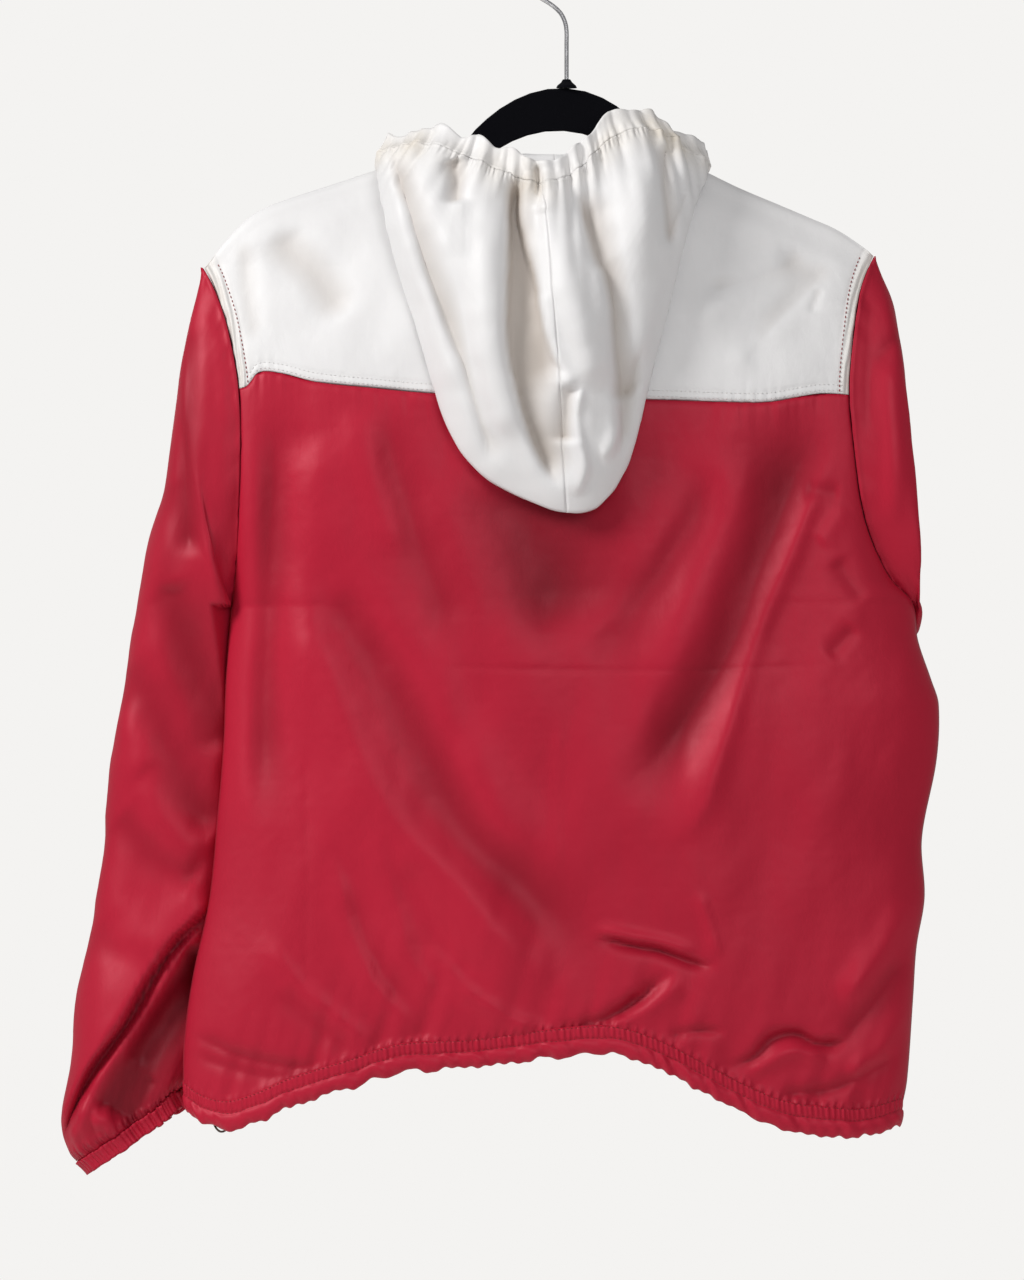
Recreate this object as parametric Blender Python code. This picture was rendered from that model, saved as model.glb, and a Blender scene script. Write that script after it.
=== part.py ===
"""A pullover anorak with a white yoke and hood, hanging on a black hanger, its back to +Y.

Frame: metres, +Z up. The origin is the inner top of the hook's crook, where a rod carries it.
+X is the wearer's left, -Y the wearer's front. The tables below are in millimetres.
Every cloth piece is a wall of its own: an outer grid of points, the same grid moved in by the
wall, and a rim that closes the two. Neighbouring pieces keep SEAM between them.
"""
import math

import bpy
from mathutils import Vector

MM = 0.001

# ---- cloth ----
WALL = 1.4            # wall of one layer of cloth
BAND_WALL = 2.6       # wall of a folded casing with its elastic or cord
SEAM = 0.3            # gap between two pieces at a seam
HEM_BAND = 17.0       # height of the hem casing
CUFF_BAND = 13.0      # length of a cuff
HOOD_BAND = 17.0      # width of the casing round the face opening
LAY_CLEAR = 3.0       # what one piece keeps to another that it lies on

YOKE_COLUMNS = 20
UP = Vector((0, 0, 1))

# ---- hanger ----
HANGER_THICK = 5.0
HANGER_TILT = math.radians(3.5)   # the anorak hangs a little off centre, so its hanger tips
WIRE_RADIUS = 1.6
CROOK_RADIUS = 21.0   # centre line of the crook
SHANK_FOOT = -94.0
COLLAR_TOP = -88.0
COLLAR_FOOT = -94.4

# ---- hem cord ----
CORD_RADIUS = 0.8

# Top line of the shoulders: x, z, from the wearer's right to the left
SHOULDER_LINE = (
    (-229, -220), (-223, -214.5), (-202, -200.5), (-182, -191.6), (-157, -181), (-128, -168.7),
    (-102, -156), (-92.5, -151.5), (3, -147), (97.7, -142), (137, -154), (173, -166), (207, -177),
    (224, -183.5), (238, -192), (254, -208.6), (270, -228.6))
NECK_RIGHT = -92.5    # the neck ends on a column of the yokes' points at each side
NECK_LEFT = 97.7
NECK_BACK_Z = -168.0
NECK_FRONT_Z = -228.0
NECK_BACK_CURVE = 2.6     # how square the neck seam is: 2 is a parabola
NECK_FRONT_CURVE = 2.2
SHOULDER_ENDS = (-228.7, 270.0)       # x where the armholes start
SHOULDER_END_Z = (-220.0, -228.6)     # and z, on the wearer's right and left

# Side edges of the panels: z, x of the wearer's left edge (armhole, then side seam)
LEFT_EDGE = (
    (-229, 270), (-241, 263.5), (-257.5, 257), (-271.5, 252.5), (-299, 246.5), (-320, 243.5),
    (-358, 242), (-447, 246), (-480, 250), (-532, 254), (-585, 256), (-638, 260.5), (-699, 266.5),
    (-758, 279), (-806, 285.5), (-845, 285.5), (-875, 283))
RIGHT_EDGE = (
    (-220, -228.7), (-235, -222), (-249, -217.6), (-271, -214), (-306, -210), (-325, -209.4),
    (-351, -211.6), (-398, -217.6), (-424, -224), (-442.5, -231.6), (-461, -242), (-478, -258),
    (-506, -262), (-536, -272), (-554, -277.5), (-595, -276), (-654, -265), (-698, -267),
    (-735, -261), (-772, -258.5), (-834, -254), (-852, -250.5), (-880, -243))
UNDERARM_LEFT = -480.0
UNDERARM_RIGHT = -478.0
ARMHOLE_MIDDLE_Z = -355.0

# Seam under the yoke, and bottom edge of the hem: x, z
YOKE_SEAM_ENDS = (-209.4, 243.5)
HEM_ENDS = (-250.9, 285.3)
HEM_SIDES = (-247.0, 285.0)           # where the side seams meet the hem casing
YOKE_SEAM = (
    (-212, -324), (-190, -323), (-175, -325), (-154, -329), (-137, -330), (-69, -328), (97, -323.3),
    (145, -319), (187, -314.4), (212, -308), (229, -307.5), (237, -317), (246, -320))
HEM_EDGE = (
    (-250, -868), (-220, -875), (-199, -874), (-163, -869), (-128, -854.6), (-98, -838.4),
    (-67, -822.8), (-35, -813.2), (5, -814.7), (71, -822.8), (125, -826.5), (158, -837),
    (206, -852.4), (229, -862.8), (251, -869.4), (270, -866), (286, -856))

# Half depth of the body: distance under the shoulder line, back, front
DEPTH = (
    (0, 0.15, 0.15), (3.5, 4.6, 4.6), (12, 8.5, 8.5), (26, 15, 16), (60, 25, 28), (120, 37, 42),
    (200, 45, 52), (300, 50, 57), (450, 53, 59), (620, 54, 57), (760, 50, 52))
ARMHOLE_DEPTH = 27.0
ARMHOLE_ROUND = 0.75
SIDE_ROUND = 2.6          # how square the body is across: 2 is an ellipse
FOLD_EASE = 1.6           # folds reach their full height this much before the sides round off

# Largest folds of the back and front: points as (x, z), half width, height (minus is a trough)
BACK_FOLDS = (
    ("roll_long", ((200, -440), (155, -590), (85, -690), (-5, -770)), 26, 9),
    ("trough_long", ((205, -425), (129, -528), (70, -640), (-8, -720)), 22, -8),
    ("trough_right", ((-172, -360), (-150, -510), (-98, -545), (-38, -610)), 28, -10),
    ("roll_right", ((-190, -400), (-168, -430), (-112, -590), (-64, -650)), 20, 7),
    ("roll_left_edge", ((232, -400), (240, -560), (250, -690)), 14, 4),
    ("trough_left_edge", ((216, -370), (222, -500), (226, -610)), 16, -6),
    ("pinch_right", ((-20, -725), (-70, -738), (-112, -741)), 13, -7))
FRONT_FOLDS = (
    ("roll_long", ((-180, -450), (-130, -600), (-60, -700), (20, -775)), 26, 8),
    ("trough_long", ((-190, -420), (-110, -540), (-50, -650), (20, -730)), 22, -8),
    ("trough_left", ((190, -360), (150, -500), (100, -560), (50, -620)), 28, -9),
    ("roll_left", ((205, -400), (170, -450), (120, -590), (80, -660)), 20, 7))

# Sleeves, section by section down the arm: outer x, z, inner x, z, middle y, half depth
LEFT_SLEEVE = (
    (283, -285, 258, -484, -2, 31), (292, -342, 266, -488, -5, 34), (299, -395, 272, -494, -10, 36),
    (313, -442, 268, -508, -16, 36), (322, -490, 252, -528, -24, 35), (331, -546, 238, -566, -31, 34),
    (342, -604, 236, -622, -36, 33), (348, -669, 243, -685, -40, 33), (354, -720, 252, -738, -42, 34),
    (364, -768, 262, -778, -43, 35), (371, -818, 273, -810, -43, 36), (377, -864, 282, -832, -42, 33),
    (372, -888, 286, -839, -41, 27), (366, -896, 287, -841.5, -41, 22))
RIGHT_SLEEVE = (
    (-244, -262, -262, -484, -8, 29), (-252, -310, -263, -494, -18, 33), (-254, -362, -254, -508, -32, 34),
    (-257, -418, -230, -530, -48, 34), (-261, -470, -200, -560, -62, 33), (-260, -524, -176, -592, -74, 32),
    (-254, -582, -160, -636, -82, 31), (-248, -650, -150, -690, -88, 31), (-243, -715, -147, -742, -92, 32),
    (-240, -768, -147, -780, -95, 32), (-239, -806, -149, -810, -96, 29), (-236, -822, -152, -824, -97, 24),
    (-234, -828, -154, -829, -97, 22))
LEFT_SLEEVE_FOLDS = (
    ("folded_ridge", ((262, -715), (300, -778), (332, -825), (356, -862), (374, -882)), 13, 9),
    ("face_under_it", ((270, -770), (300, -820), (330, -862)), 20, -7),
    ("cap_ridge", ((276, -262), (262, -290), (256, -345)), 9, 4),
    ("cap_trough", ((280, -300), (276, -380), (280, -440)), 12, -6),
    ("elbow_trough", ((290, -500), (268, -530)), 13, -6),
    ("elbow_roll", ((325, -545), (285, -585)), 16, 5))

# Hood, rib by rib round the neck from the front by the wearer's left to the front again.
# Columns: share of the way round, neck seam x, then five points of the rib as x, y, z:
# the turn over the neck, the inner layer, the lowest fold, the outer layer and the face edge.
HOOD_RIBS = (
    (0.00, 3.4, (3.4, -48, -212), (3.4, -51, -200), (3.4, -53, -190), (3.4, -54, -180), (3.4, -54, -172)),
    (0.10, 72, (80, -36, -180), (88, -40, -166), (94, -41, -158), (97, -40, -150), (96, -37, -141)),
    (0.20, 97.7, (107, 0, -133), (123, 2, -137), (137, 5, -153), (139, 9, -144), (132, 6, -132)),
    (0.29, 80, (86, 24, -141), (108, 24, -164), (135, 30, -190), (122, 48, -160), (103, 30, -125)),
    (0.37, 54, (58, 31, -148), (90, 32, -222), (113, 42, -268), (99, 68, -200), (71, 46, -132)),
    (0.44, 31, (33, 34, -151), (60, 42, -275), (76, 54, -370), (64, 79, -258), (44, 53, -143)),
    (0.50, 9, (9, 35, -152), (5, 46, -300), (0, 60, -412), (8, 85, -280), (18, 57, -153)),
    (0.56, -12, (-12, 34, -151), (-20, 42, -275), (-41, 54, -384), (-22, 80, -262), (-6, 53, -142)),
    (0.63, -36, (-37, 31, -148), (-50, 32, -220), (-68, 42, -286), (-52, 68, -205), (-30, 46, -118)),
    (0.71, -62, (-66, 24, -142), (-76, 24, -172), (-89, 32, -204), (-80, 50, -165), (-60, 30, -116)),
    (0.80, -92.5, (-94, 0, -142), (-98, 2, -141), (-104, 5, -155), (-106, 10, -148), (-103, 8, -139)),
    (0.90, -62, (-66, -36, -182), (-68, -40, -166), (-74, -41, -158), (-77, -40, -150), (-76, -37, -141)),
    (1.00, 2.6, (2.6, -48, -212), (2.6, -51, -200), (2.6, -53, -190), (2.6, -54, -180), (2.6, -54, -172)))
RIB_STEPS = 60            # straight runs that a rib is measured along
HOOD_FOLDS = (
    ("groove_a", ((125, -150), (104, -215), (80, -290), (62, -345), (54, -375)), 9, -8),
    ("pit", ((86, -152), (82, -186)), 9, -8),
    ("wedge", ((40, -160), (38, -200), (32, -250), (30, -300), (14, -352), (2, -395)), 13, -13),
    ("groove_d", ((-4, -168), (-20, -210), (-30, -245), (-37, -300), (-40, -350)), 9, -8),
    ("groove_e", ((-72, -140), (-74, -185), (-77, -215)), 8, -7),
    ("roll_1", ((60, -170), (64, -240), (58, -310)), 15, 4),
    ("roll_2", ((14, -175), (0, -250), (-6, -330)), 16, 5))

# The hook's bend from its shank to its crook: x, z
HOOK_BEND = ((0, -60), (0, -52), (1.2, -45), (4.4, -38.6), (9.5, -33.6), (14.8, -30))
CROOK_START = math.radians(-22)
CROOK_END = math.radians(196)

# Hanger, half of it: x, top z, bottom z
HANGER_HALF = (
    (0, -94.7, -126.5), (14, -96, -127.8), (27, -100, -131.5), (38, -105.5, -136.6), (49, -113, -143.6),
    (58, -121, -151), (66, -129.5, -158), (74, -141, -166), (84, -151, -172), (98, -157, -176.5),
    (125, -166, -184.5), (160, -179.3, -194.7), (195, -192.7, -205.4), (209, -198.5, -210),
    (216, -202.6, -208))

# Cord loop of the hem's drawcord: x, z, and how far it lies in from the hem casing
CORD_ROUTE = ((246, -845), (247.5, -852), (249, -859), (251, -866), (254, -870.6), (258, -871.2),
              (261.5, -867.5), (263.5, -861), (265.5, -854), (267, -847))


def clear_scene():
    for old in list(bpy.data.objects):
        bpy.data.objects.remove(old, do_unlink=True)


def finish_material(name, colour, roughness, metallic=0.0):
    made = bpy.data.materials.new(name)
    made.use_nodes = True
    shader = made.node_tree.nodes["Principled BSDF"]
    shader.inputs["Base Color"].default_value = (*colour, 1.0)
    shader.inputs["Roughness"].default_value = roughness
    shader.inputs["Metallic"].default_value = metallic
    return made


def along(table, at, column=1):
    """Read a table's column at a value of its first column, on a smooth curve."""
    rows = table if table[0][0] < table[-1][0] else table[::-1]
    if at <= rows[0][0]:
        return rows[0][column]
    if at >= rows[-1][0]:
        return rows[-1][column]
    k = 0
    while rows[k + 1][0] < at:
        k += 1

    def slope(i):
        low = max(i - 1, 0)
        high = min(i + 1, len(rows) - 1)
        return (rows[high][column] - rows[low][column]) / (rows[high][0] - rows[low][0])

    span = rows[k + 1][0] - rows[k][0]
    t = (at - rows[k][0]) / span
    return (rows[k][column] * (1 + 2 * t) * (1 - t) ** 2 + rows[k + 1][column] * t * t * (3 - 2 * t)
            + span * slope(k) * t * (1 - t) ** 2 - span * slope(k + 1) * t * t * (1 - t))


def smooth_step(low, high, at):
    t = min(max((at - low) / (high - low), 0.0), 1.0)
    return t * t * (3 - 2 * t)


def line_distance(points, x, z):
    """Distance from x, z to a line of points, and the share of the line where it is nearest."""
    best = (1e9, 0.0)
    count = len(points) - 1
    for k in range(count):
        ax, az = points[k]
        bx, bz = points[k + 1]
        dx = bx - ax
        dz = bz - az
        t = min(max(((x - ax) * dx + (z - az) * dz) / (dx * dx + dz * dz), 0.0), 1.0)
        gap = math.hypot(x - ax - dx * t, z - az - dz * t)
        if gap < best[0]:
            best = (gap, (k + t) / count)
    return best


def fold_height(folds, x, z):
    """Sum of the folds at x, z. Each is soft across and runs out at its ends."""
    height = 0.0
    for _, points, half_width, top in folds:
        gap, share = line_distance(points, x, z)
        fade = smooth_step(0.0, 0.22, share) * smooth_step(1.0, 0.78, share)
        height += top * fade * math.exp(-(gap / half_width) ** 2)
    return height


# ---------------------------------------------------------------- the body of the anorak
def edge_x(side, z):
    return along(LEFT_EDGE if side > 0 else RIGHT_EDGE, z)


def across(x, z):
    """Place of x between the two side edges at a height, from -1 to 1."""
    left = edge_x(1, z)
    right = edge_x(-1, z)
    return (2 * x - left - right) / (left - right)


def armhole_depth(x, z):
    """Half the gap between back and front at the armhole edge; none under the arm."""
    top = SHOULDER_END_Z[x > 0]
    foot = UNDERARM_LEFT if x > 0 else UNDERARM_RIGHT
    share = min(max((top - z) / (top - foot), 0.0), 1.0)
    return ARMHOLE_DEPTH * math.sin(math.pi * share) ** ARMHOLE_ROUND


def body_y(face, x, z):
    """Outer surface of the body. face is 1 for the back and -1 for the front."""
    place = min(abs(across(x, z)), 1.0)
    round_off = math.sqrt(max(1.0 - place ** SIDE_ROUND, 0.0))
    drop = max(along(SHOULDER_LINE, x) - z, 0.0)
    full = along(DEPTH, drop, 1 if face > 0 else 2)
    edge = min(armhole_depth(x, z), full)
    folds = fold_height(BACK_FOLDS if face > 0 else FRONT_FOLDS, x, z)
    height = edge + (full - edge) * round_off + folds * min(round_off * FOLD_EASE, 1.0)
    return face * max(height, SEAM / 2)


def neck_z(face, x):
    """Neck seam of the back or front yoke; the shoulder line beyond it."""
    if x <= NECK_RIGHT or x >= NECK_LEFT:
        return along(SHOULDER_LINE, x)
    middle = (NECK_LEFT + NECK_RIGHT) / 2
    share = abs(x - middle) / ((NECK_LEFT - NECK_RIGHT) / 2)
    line = along(SHOULDER_LINE, NECK_LEFT if x > middle else NECK_RIGHT)
    low = NECK_BACK_Z if face > 0 else NECK_FRONT_Z
    return low + (line - low) * share ** (NECK_BACK_CURVE if face > 0 else NECK_FRONT_CURVE)


def hem_z(face, x):
    """Bottom edge of the hem. The front's arch is a little higher than the back's."""
    edge = along(HEM_EDGE, x)
    return edge if face > 0 else edge + 5.0 * smooth_step(-865, -835, edge)


def between(ends, wide):
    """A place from the right end to the left, at wide from -1 to 1."""
    return (ends[0] + ends[1]) / 2 + (ends[1] - ends[0]) / 2 * wide


def yoke_point(face, a, f):
    """a runs from the right armhole to the left, -1 to 1; f from the top line to the seam."""
    wide = math.sin(a * math.pi / 2)
    foot_right, foot_left = [along(YOKE_SEAM, x) + SEAM / 2 for x in YOKE_SEAM_ENDS]
    right_z, left_z = SHOULDER_END_Z
    left = edge_x(1, left_z + (foot_left - left_z) * f)
    right = edge_x(-1, right_z + (foot_right - right_z) * f)
    x = between((right, left), wide)
    top = neck_z(face, between(SHOULDER_ENDS, wide))
    foot = along(YOKE_SEAM, between(YOKE_SEAM_ENDS, wide)) + SEAM / 2
    z = top + (foot - top) * f
    return Vector((x, body_y(face, x, z), z))


def panel_point(face, a, f):
    """The red panel: f runs from the yoke seam to the hem seam."""
    wide = math.sin(a * math.pi / 2)
    sides = []
    for seam_x, hem_x, side in zip(YOKE_SEAM_ENDS, HEM_SIDES, (-1, 1)):
        top = along(YOKE_SEAM, seam_x) - SEAM / 2
        low = hem_z(face, hem_x) + HEM_BAND + SEAM / 2
        sides.append(edge_x(side, top + (low - top) * f))
    x = between(sides, wide)
    top = along(YOKE_SEAM, between(YOKE_SEAM_ENDS, wide)) - SEAM / 2
    low = hem_z(face, between(HEM_ENDS, wide)) + HEM_BAND + SEAM / 2
    z = top + (low - top) * f
    return Vector((x, body_y(face, x, z), z))


def hem_point(turn, f):
    """The hem casing, one ring that goes on from the panels' last rows.

    turn runs 0 to 4: the back 0 to 2, the front 2 to 4; f runs down the casing.
    """
    face = 1 if turn <= 2 else -1
    a = turn - 1 if turn <= 2 else 3 - turn
    p = panel_point(face, a, 1.0)
    if abs(a) == 1:
        p = (p + panel_point(-face, a, 1.0)) / 2
        p.y = 0.0
    draw = 1.5 * f * f
    p.x -= draw * math.sin(a * math.pi / 2)
    p.y -= draw * math.copysign(min(abs(p.y) / 20, 1.0), p.y)
    p.z -= 2 * SEAM + (HEM_BAND - 2 * SEAM) * f
    return p


# ---------------------------------------------------------------- sleeves
def armhole_point(side, turn):
    """The armhole loop. turn 0 is the shoulder, 0.25 the back, 0.5 under the arm, 0.75 front."""
    top = SHOULDER_END_Z[side > 0]
    foot = UNDERARM_LEFT if side > 0 else UNDERARM_RIGHT
    share = (1 - math.cos(turn * 2 * math.pi)) / 2
    z = top + (foot - top) * share
    face = 1 if turn <= 0.5 else -1
    x = edge_x(side, z)
    y = 0.0 if turn in (0, 0.5) else face * armhole_depth(x, z)
    return Vector((x, y, z))


def sleeve_section(rows, row, turn):
    outer_x, outer_z, inner_x, inner_z, middle, deep = rows[row]
    swing = math.cos(turn * 2 * math.pi)
    lift = math.sin(turn * 2 * math.pi)
    wide = math.copysign(abs(swing) ** 0.9, swing)
    thick = math.copysign(abs(lift) ** 0.85, lift)
    return Vector(((outer_x + inner_x) / 2 + (outer_x - inner_x) / 2 * wide, middle + deep * thick,
                   (outer_z + inner_z) / 2 + (outer_z - inner_z) / 2 * wide))


def clear_of_front(p, keep):
    """Move a sleeve's point forward until it lies clear of the front of the body."""
    side = 1 if p.x > 0 else -1
    foot = UNDERARM_LEFT if side > 0 else UNDERARM_RIGHT
    if p.z > foot:
        return p
    beyond = (p.x - edge_x(side, p.z)) * side
    limit = -keep + 1.6 * beyond if beyond > 0 else body_y(-1, p.x, p.z) - keep
    return Vector((p.x, min(p.y, limit), p.z))


def sleeve_point(side, turn, v):
    """v runs 0 to 1 from the armhole to the cuff seam, on a smooth curve through the rows."""
    rows = LEFT_SLEEVE if side > 0 else RIGHT_SLEEVE
    place = v * len(rows)
    low = min(int(place), len(rows) - 1)
    t = place - low

    def knot(k):
        k = min(max(k, 0), len(rows))
        if k == 0:
            return armhole_point(side, turn)
        return sleeve_section(rows, k - 1, turn)

    p0, p1, p2, p3 = knot(low - 1), knot(low), knot(low + 1), knot(low + 2)
    p = 0.5 * (2 * p1 + (p2 - p0) * t + (2 * p0 - 5 * p1 + 4 * p2 - p3) * t * t
               + (3 * p1 - p0 - 3 * p2 + p3) * t ** 3)
    if side > 0 and v > 0:
        facing = max(math.sin(turn * 2 * math.pi), 0.0) ** 0.5
        p.y += fold_height(LEFT_SLEEVE_FOLDS, p.x, p.z) * facing * smooth_step(0, 0.08, v)
    if v > 0:
        p = clear_of_front(p, LAY_CLEAR + WALL)
    return p


def cuff_direction(side):
    """The way a cuff points, square to its sleeve's last section."""
    outer_x, outer_z, inner_x, inner_z, _, _ = (LEFT_SLEEVE if side > 0 else RIGHT_SLEEVE)[-1]
    down = Vector((inner_z - outer_z, 0, outer_x - inner_x)).normalized()
    return -down if down.z > 0 else down


def cuff_point(side, turn, v):
    """A cuff goes on from its sleeve's last section, along the sleeve."""
    outer_x, outer_z, inner_x, inner_z, _, _ = (LEFT_SLEEVE if side > 0 else RIGHT_SLEEVE)[-1]
    down = cuff_direction(side)
    squeeze = 1 - 0.05 * v
    end = sleeve_point(side, turn, 1.0)
    middle = Vector(((outer_x + inner_x) / 2, end.y, (outer_z + inner_z) / 2))
    return middle + (end - middle) * squeeze + down * (SEAM + (CUFF_BAND - SEAM) * v)


# ---------------------------------------------------------------- hood
def neck_point(face, x):
    """A point of the neck seam, on the straight runs between the yoke's own points."""
    for i in range(YOKE_COLUMNS):
        low = yoke_point(face, -1 + 2 * i / YOKE_COLUMNS, 0.0)
        high = yoke_point(face, -1 + 2 * (i + 1) / YOKE_COLUMNS, 0.0)
        if low.x <= x <= high.x:
            break
    return low + (high - low) * ((x - low.x) / (high.x - low.x))


def round_curve(knots, t):
    """A point on the Catmull-Rom curve through knots; t runs 0 to their count less one."""
    low = min(int(t), len(knots) - 2)
    s = t - low
    p1, p2 = knots[low], knots[low + 1]
    p0 = knots[low - 1] if low > 0 else p1 * 2 - p2
    p3 = knots[low + 2] if low + 2 < len(knots) else p2 * 2 - p1
    return 0.5 * (2 * p1 + (p2 - p0) * s + (2 * p0 - 5 * p1 + 4 * p2 - p3) * s * s
                  + (3 * p1 - p0 - 3 * p2 + p3) * s ** 3)


def rib_place(u):
    """Which row of HOOD_RIBS a share of the way round is at, with its fraction."""
    k = 0
    while k < len(HOOD_RIBS) - 2 and HOOD_RIBS[k + 1][0] < u:
        k += 1
    return k + (u - HOOD_RIBS[k][0]) / (HOOD_RIBS[k + 1][0] - HOOD_RIBS[k][0])


def hood_rib(u):
    """The rib at u as points an even way apart from the neck seam to the face edge."""
    place = rib_place(u)
    neck_x = round_curve([Vector((row[1], 0, 0)) for row in HOOD_RIBS], place).x
    neck_x = min(max(neck_x, NECK_RIGHT), NECK_LEFT)
    face = -1 if u < 0.2 or u > 0.8 else 1
    columns = [neck_point(face, neck_x) + Vector((-5 * SEAM * neck_out(face, neck_x).x, 0, 2.5 * SEAM))]
    for k in range(2, 7):
        columns.append(round_curve([Vector(row[k]) for row in HOOD_RIBS], place))
    fine = [round_curve(columns, 5 * i / RIB_STEPS) for i in range(RIB_STEPS + 1)]
    for i, p in enumerate(fine):
        inside = neck_z(-1, p.x) < p.z and NECK_RIGHT < p.x < NECK_LEFT
        if i > 3 and 0.2 < u < 0.8 and not inside:
            p.y = max(p.y, body_y(1, p.x, min(p.z, along(SHOULDER_LINE, p.x))) + LAY_CLEAR + WALL)
    lengths = [0.0]
    for i in range(RIB_STEPS):
        lengths.append(lengths[-1] + (fine[i + 1] - fine[i]).length)
    return fine, lengths


def rib_point(rib, way):
    """The point a way along a rib."""
    fine, lengths = rib
    k = 0
    while k < RIB_STEPS - 1 and lengths[k + 1] < way:
        k += 1
    t = (way - lengths[k]) / (lengths[k + 1] - lengths[k])
    return fine[k] + (fine[k + 1] - fine[k]) * t


def hood_grid(shares, steps, band):
    """Points of the hood by rib and by step; band picks the casing at the face edge."""
    grid = []
    for u in shares:
        rib = hood_rib(u)
        whole = rib[1][-1]
        seam = whole - HOOD_BAND
        row = []
        for j in range(steps + 1):
            v = j / steps
            way = seam + 3 * SEAM + (HOOD_BAND - 3 * SEAM) * v if band else (seam - 3 * SEAM) * v
            p = rib_point(rib, way)
            if way > 0.5 * whole and 0.2 < u < 0.8:
                facing = smooth_step(0.5, 0.62, way / whole)
                p = p + Vector((0, fold_height(HOOD_FOLDS, p.x, p.z) * facing, 0))
            row.append(p)
        grid.append(row)
    return grid


# ---------------------------------------------------------------- walls
def grid_normals(grid, closed):
    """Outward direction at each point of a grid, from its neighbours."""
    rows = len(grid)
    steps = len(grid[0])
    normals = []
    for i in range(rows):
        line = []
        for j in range(steps):
            if closed:
                before, after = grid[i - 1][j], grid[(i + 1) % rows][j]
            else:
                before, after = grid[max(i - 1, 0)][j], grid[min(i + 1, rows - 1)][j]
            above, below = grid[i][max(j - 1, 0)], grid[i][min(j + 1, steps - 1)]
            line.append((after - before).cross(below - above).normalized())
        normals.append(line)
    return normals


def wall_object(name, grid, material, wall, closed=False, flip=False, set_normals=None, square=None):
    """A closed wall: grid is its outer side, and set_normals gives directions at its seams.

    square gives, for a step that lies along a seam, the direction across the seam: the wall's
    thickness is kept square to it there, so that the pieces on both sides meet face to face.
    """
    normals = grid_normals(grid, closed)
    if flip:
        normals = [[-n for n in line] for line in normals]
    for j, across_seam in (square or {}).items():
        for line in normals:
            line[j] = (line[j] - across_seam * line[j].dot(across_seam)).normalized()
    for (i, j), direction in (set_normals or {}).items():
        normals[i][j] = direction.normalized()
    rows = len(grid)
    steps = len(grid[0])
    points = [p * MM for line in grid for p in line]
    points += [(p - n * wall) * MM for line, out in zip(grid, normals) for p, n in zip(line, out)]
    inner = rows * steps

    def at(i, j):
        return (i % rows) * steps + j

    faces = []
    spans = rows if closed else rows - 1
    for i in range(spans):
        for j in range(steps - 1):
            quad = (at(i, j), at(i + 1, j), at(i + 1, j + 1), at(i, j + 1))
            faces.append(quad)
            faces.append(tuple(inner + k for k in reversed(quad)))
        for j in (0, steps - 1):
            rim = (at(i, j), at(i + 1, j), inner + at(i + 1, j), inner + at(i, j))
            faces.append(rim[::-1] if j == 0 else rim)
    if not closed:
        for j in range(steps - 1):
            for i in (0, rows - 1):
                rim = (at(i, j), at(i, j + 1), inner + at(i, j + 1), inner + at(i, j))
                faces.append(rim if i == 0 else rim[::-1])
    if flip:
        faces = [face[::-1] for face in faces]
    mesh = bpy.data.meshes.new(name)
    mesh.from_pydata(points, [], faces)
    mesh.materials.append(material)
    mesh.validate()
    for polygon in mesh.polygons:
        polygon.use_smooth = True
    mesh.set_sharp_from_angle(angle=math.radians(50))
    made = bpy.data.objects.new(name, mesh)
    bpy.context.collection.objects.link(made)
    return made


def loop_normal(side, turn):
    """Direction out of the armhole loop, with no part along X, shared by sleeve and panels."""
    ahead = armhole_point(side, (turn + 0.01) % 1.0)
    behind = armhole_point(side, (turn - 0.01) % 1.0)
    run = ahead - behind
    out = Vector((0, run.z, -run.y))
    here = armhole_point(side, turn)
    middle = Vector((here.x, 0, ARMHOLE_MIDDLE_Z))
    if out.dot(here - middle) < 0:
        out.negate()
    return out.normalized()


def armhole_turn(side, face, z):
    """The turn of the armhole loop at a height."""
    top = SHOULDER_END_Z[side > 0]
    foot = UNDERARM_LEFT if side > 0 else UNDERARM_RIGHT
    share = min(max((top - z) / (top - foot), 0.0), 1.0)
    turn = math.acos(1 - 2 * share) / (2 * math.pi)
    return turn if face > 0 else (1 - turn) % 1.0


def panel_grid(point, face, columns, steps, ease):
    grid = []
    for i in range(columns + 1):
        a = -1 + 2 * i / columns
        grid.append([point(face, a, (j / steps) ** ease) for j in range(steps + 1)])
    return grid


def neck_out(face, x):
    """Direction out of the cloth at the neck seam, shared by the yokes and the hood."""
    middle = (NECK_LEFT + NECK_RIGHT) / 2
    share = min(abs(x - middle) / ((NECK_LEFT - NECK_RIGHT) / 2), 1.0)
    turn = smooth_step(0.55, 1.0, share)
    return Vector((math.copysign(turn, x - middle), face * (1 - turn), 0.3 * turn)).normalized()


def panel_normals(grid, face, top_is_shoulder):
    """Directions at a panel's edges: the armhole, the side seam, the shoulder and neck seams."""
    fixed = {}
    last = len(grid) - 1
    for i, side in ((0, -1), (last, 1)):
        foot = UNDERARM_LEFT if side > 0 else UNDERARM_RIGHT
        for j, p in enumerate(grid[i]):
            if p.z > foot + 1:
                fixed[(i, j)] = loop_normal(side, armhole_turn(side, face, p.z))
            else:
                fixed[(i, j)] = Vector((side, 0, 0))
    if top_is_shoulder:
        for i, line in enumerate(grid):
            x = line[0].x
            rise = along(SHOULDER_LINE, x + 2) - along(SHOULDER_LINE, x - 2)
            past_neck = x < NECK_RIGHT - 1 or x > NECK_LEFT + 1
            fixed[(i, 0)] = Vector((-rise, 0, 4)) if past_neck else neck_out(face, x)
    return fixed


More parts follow.
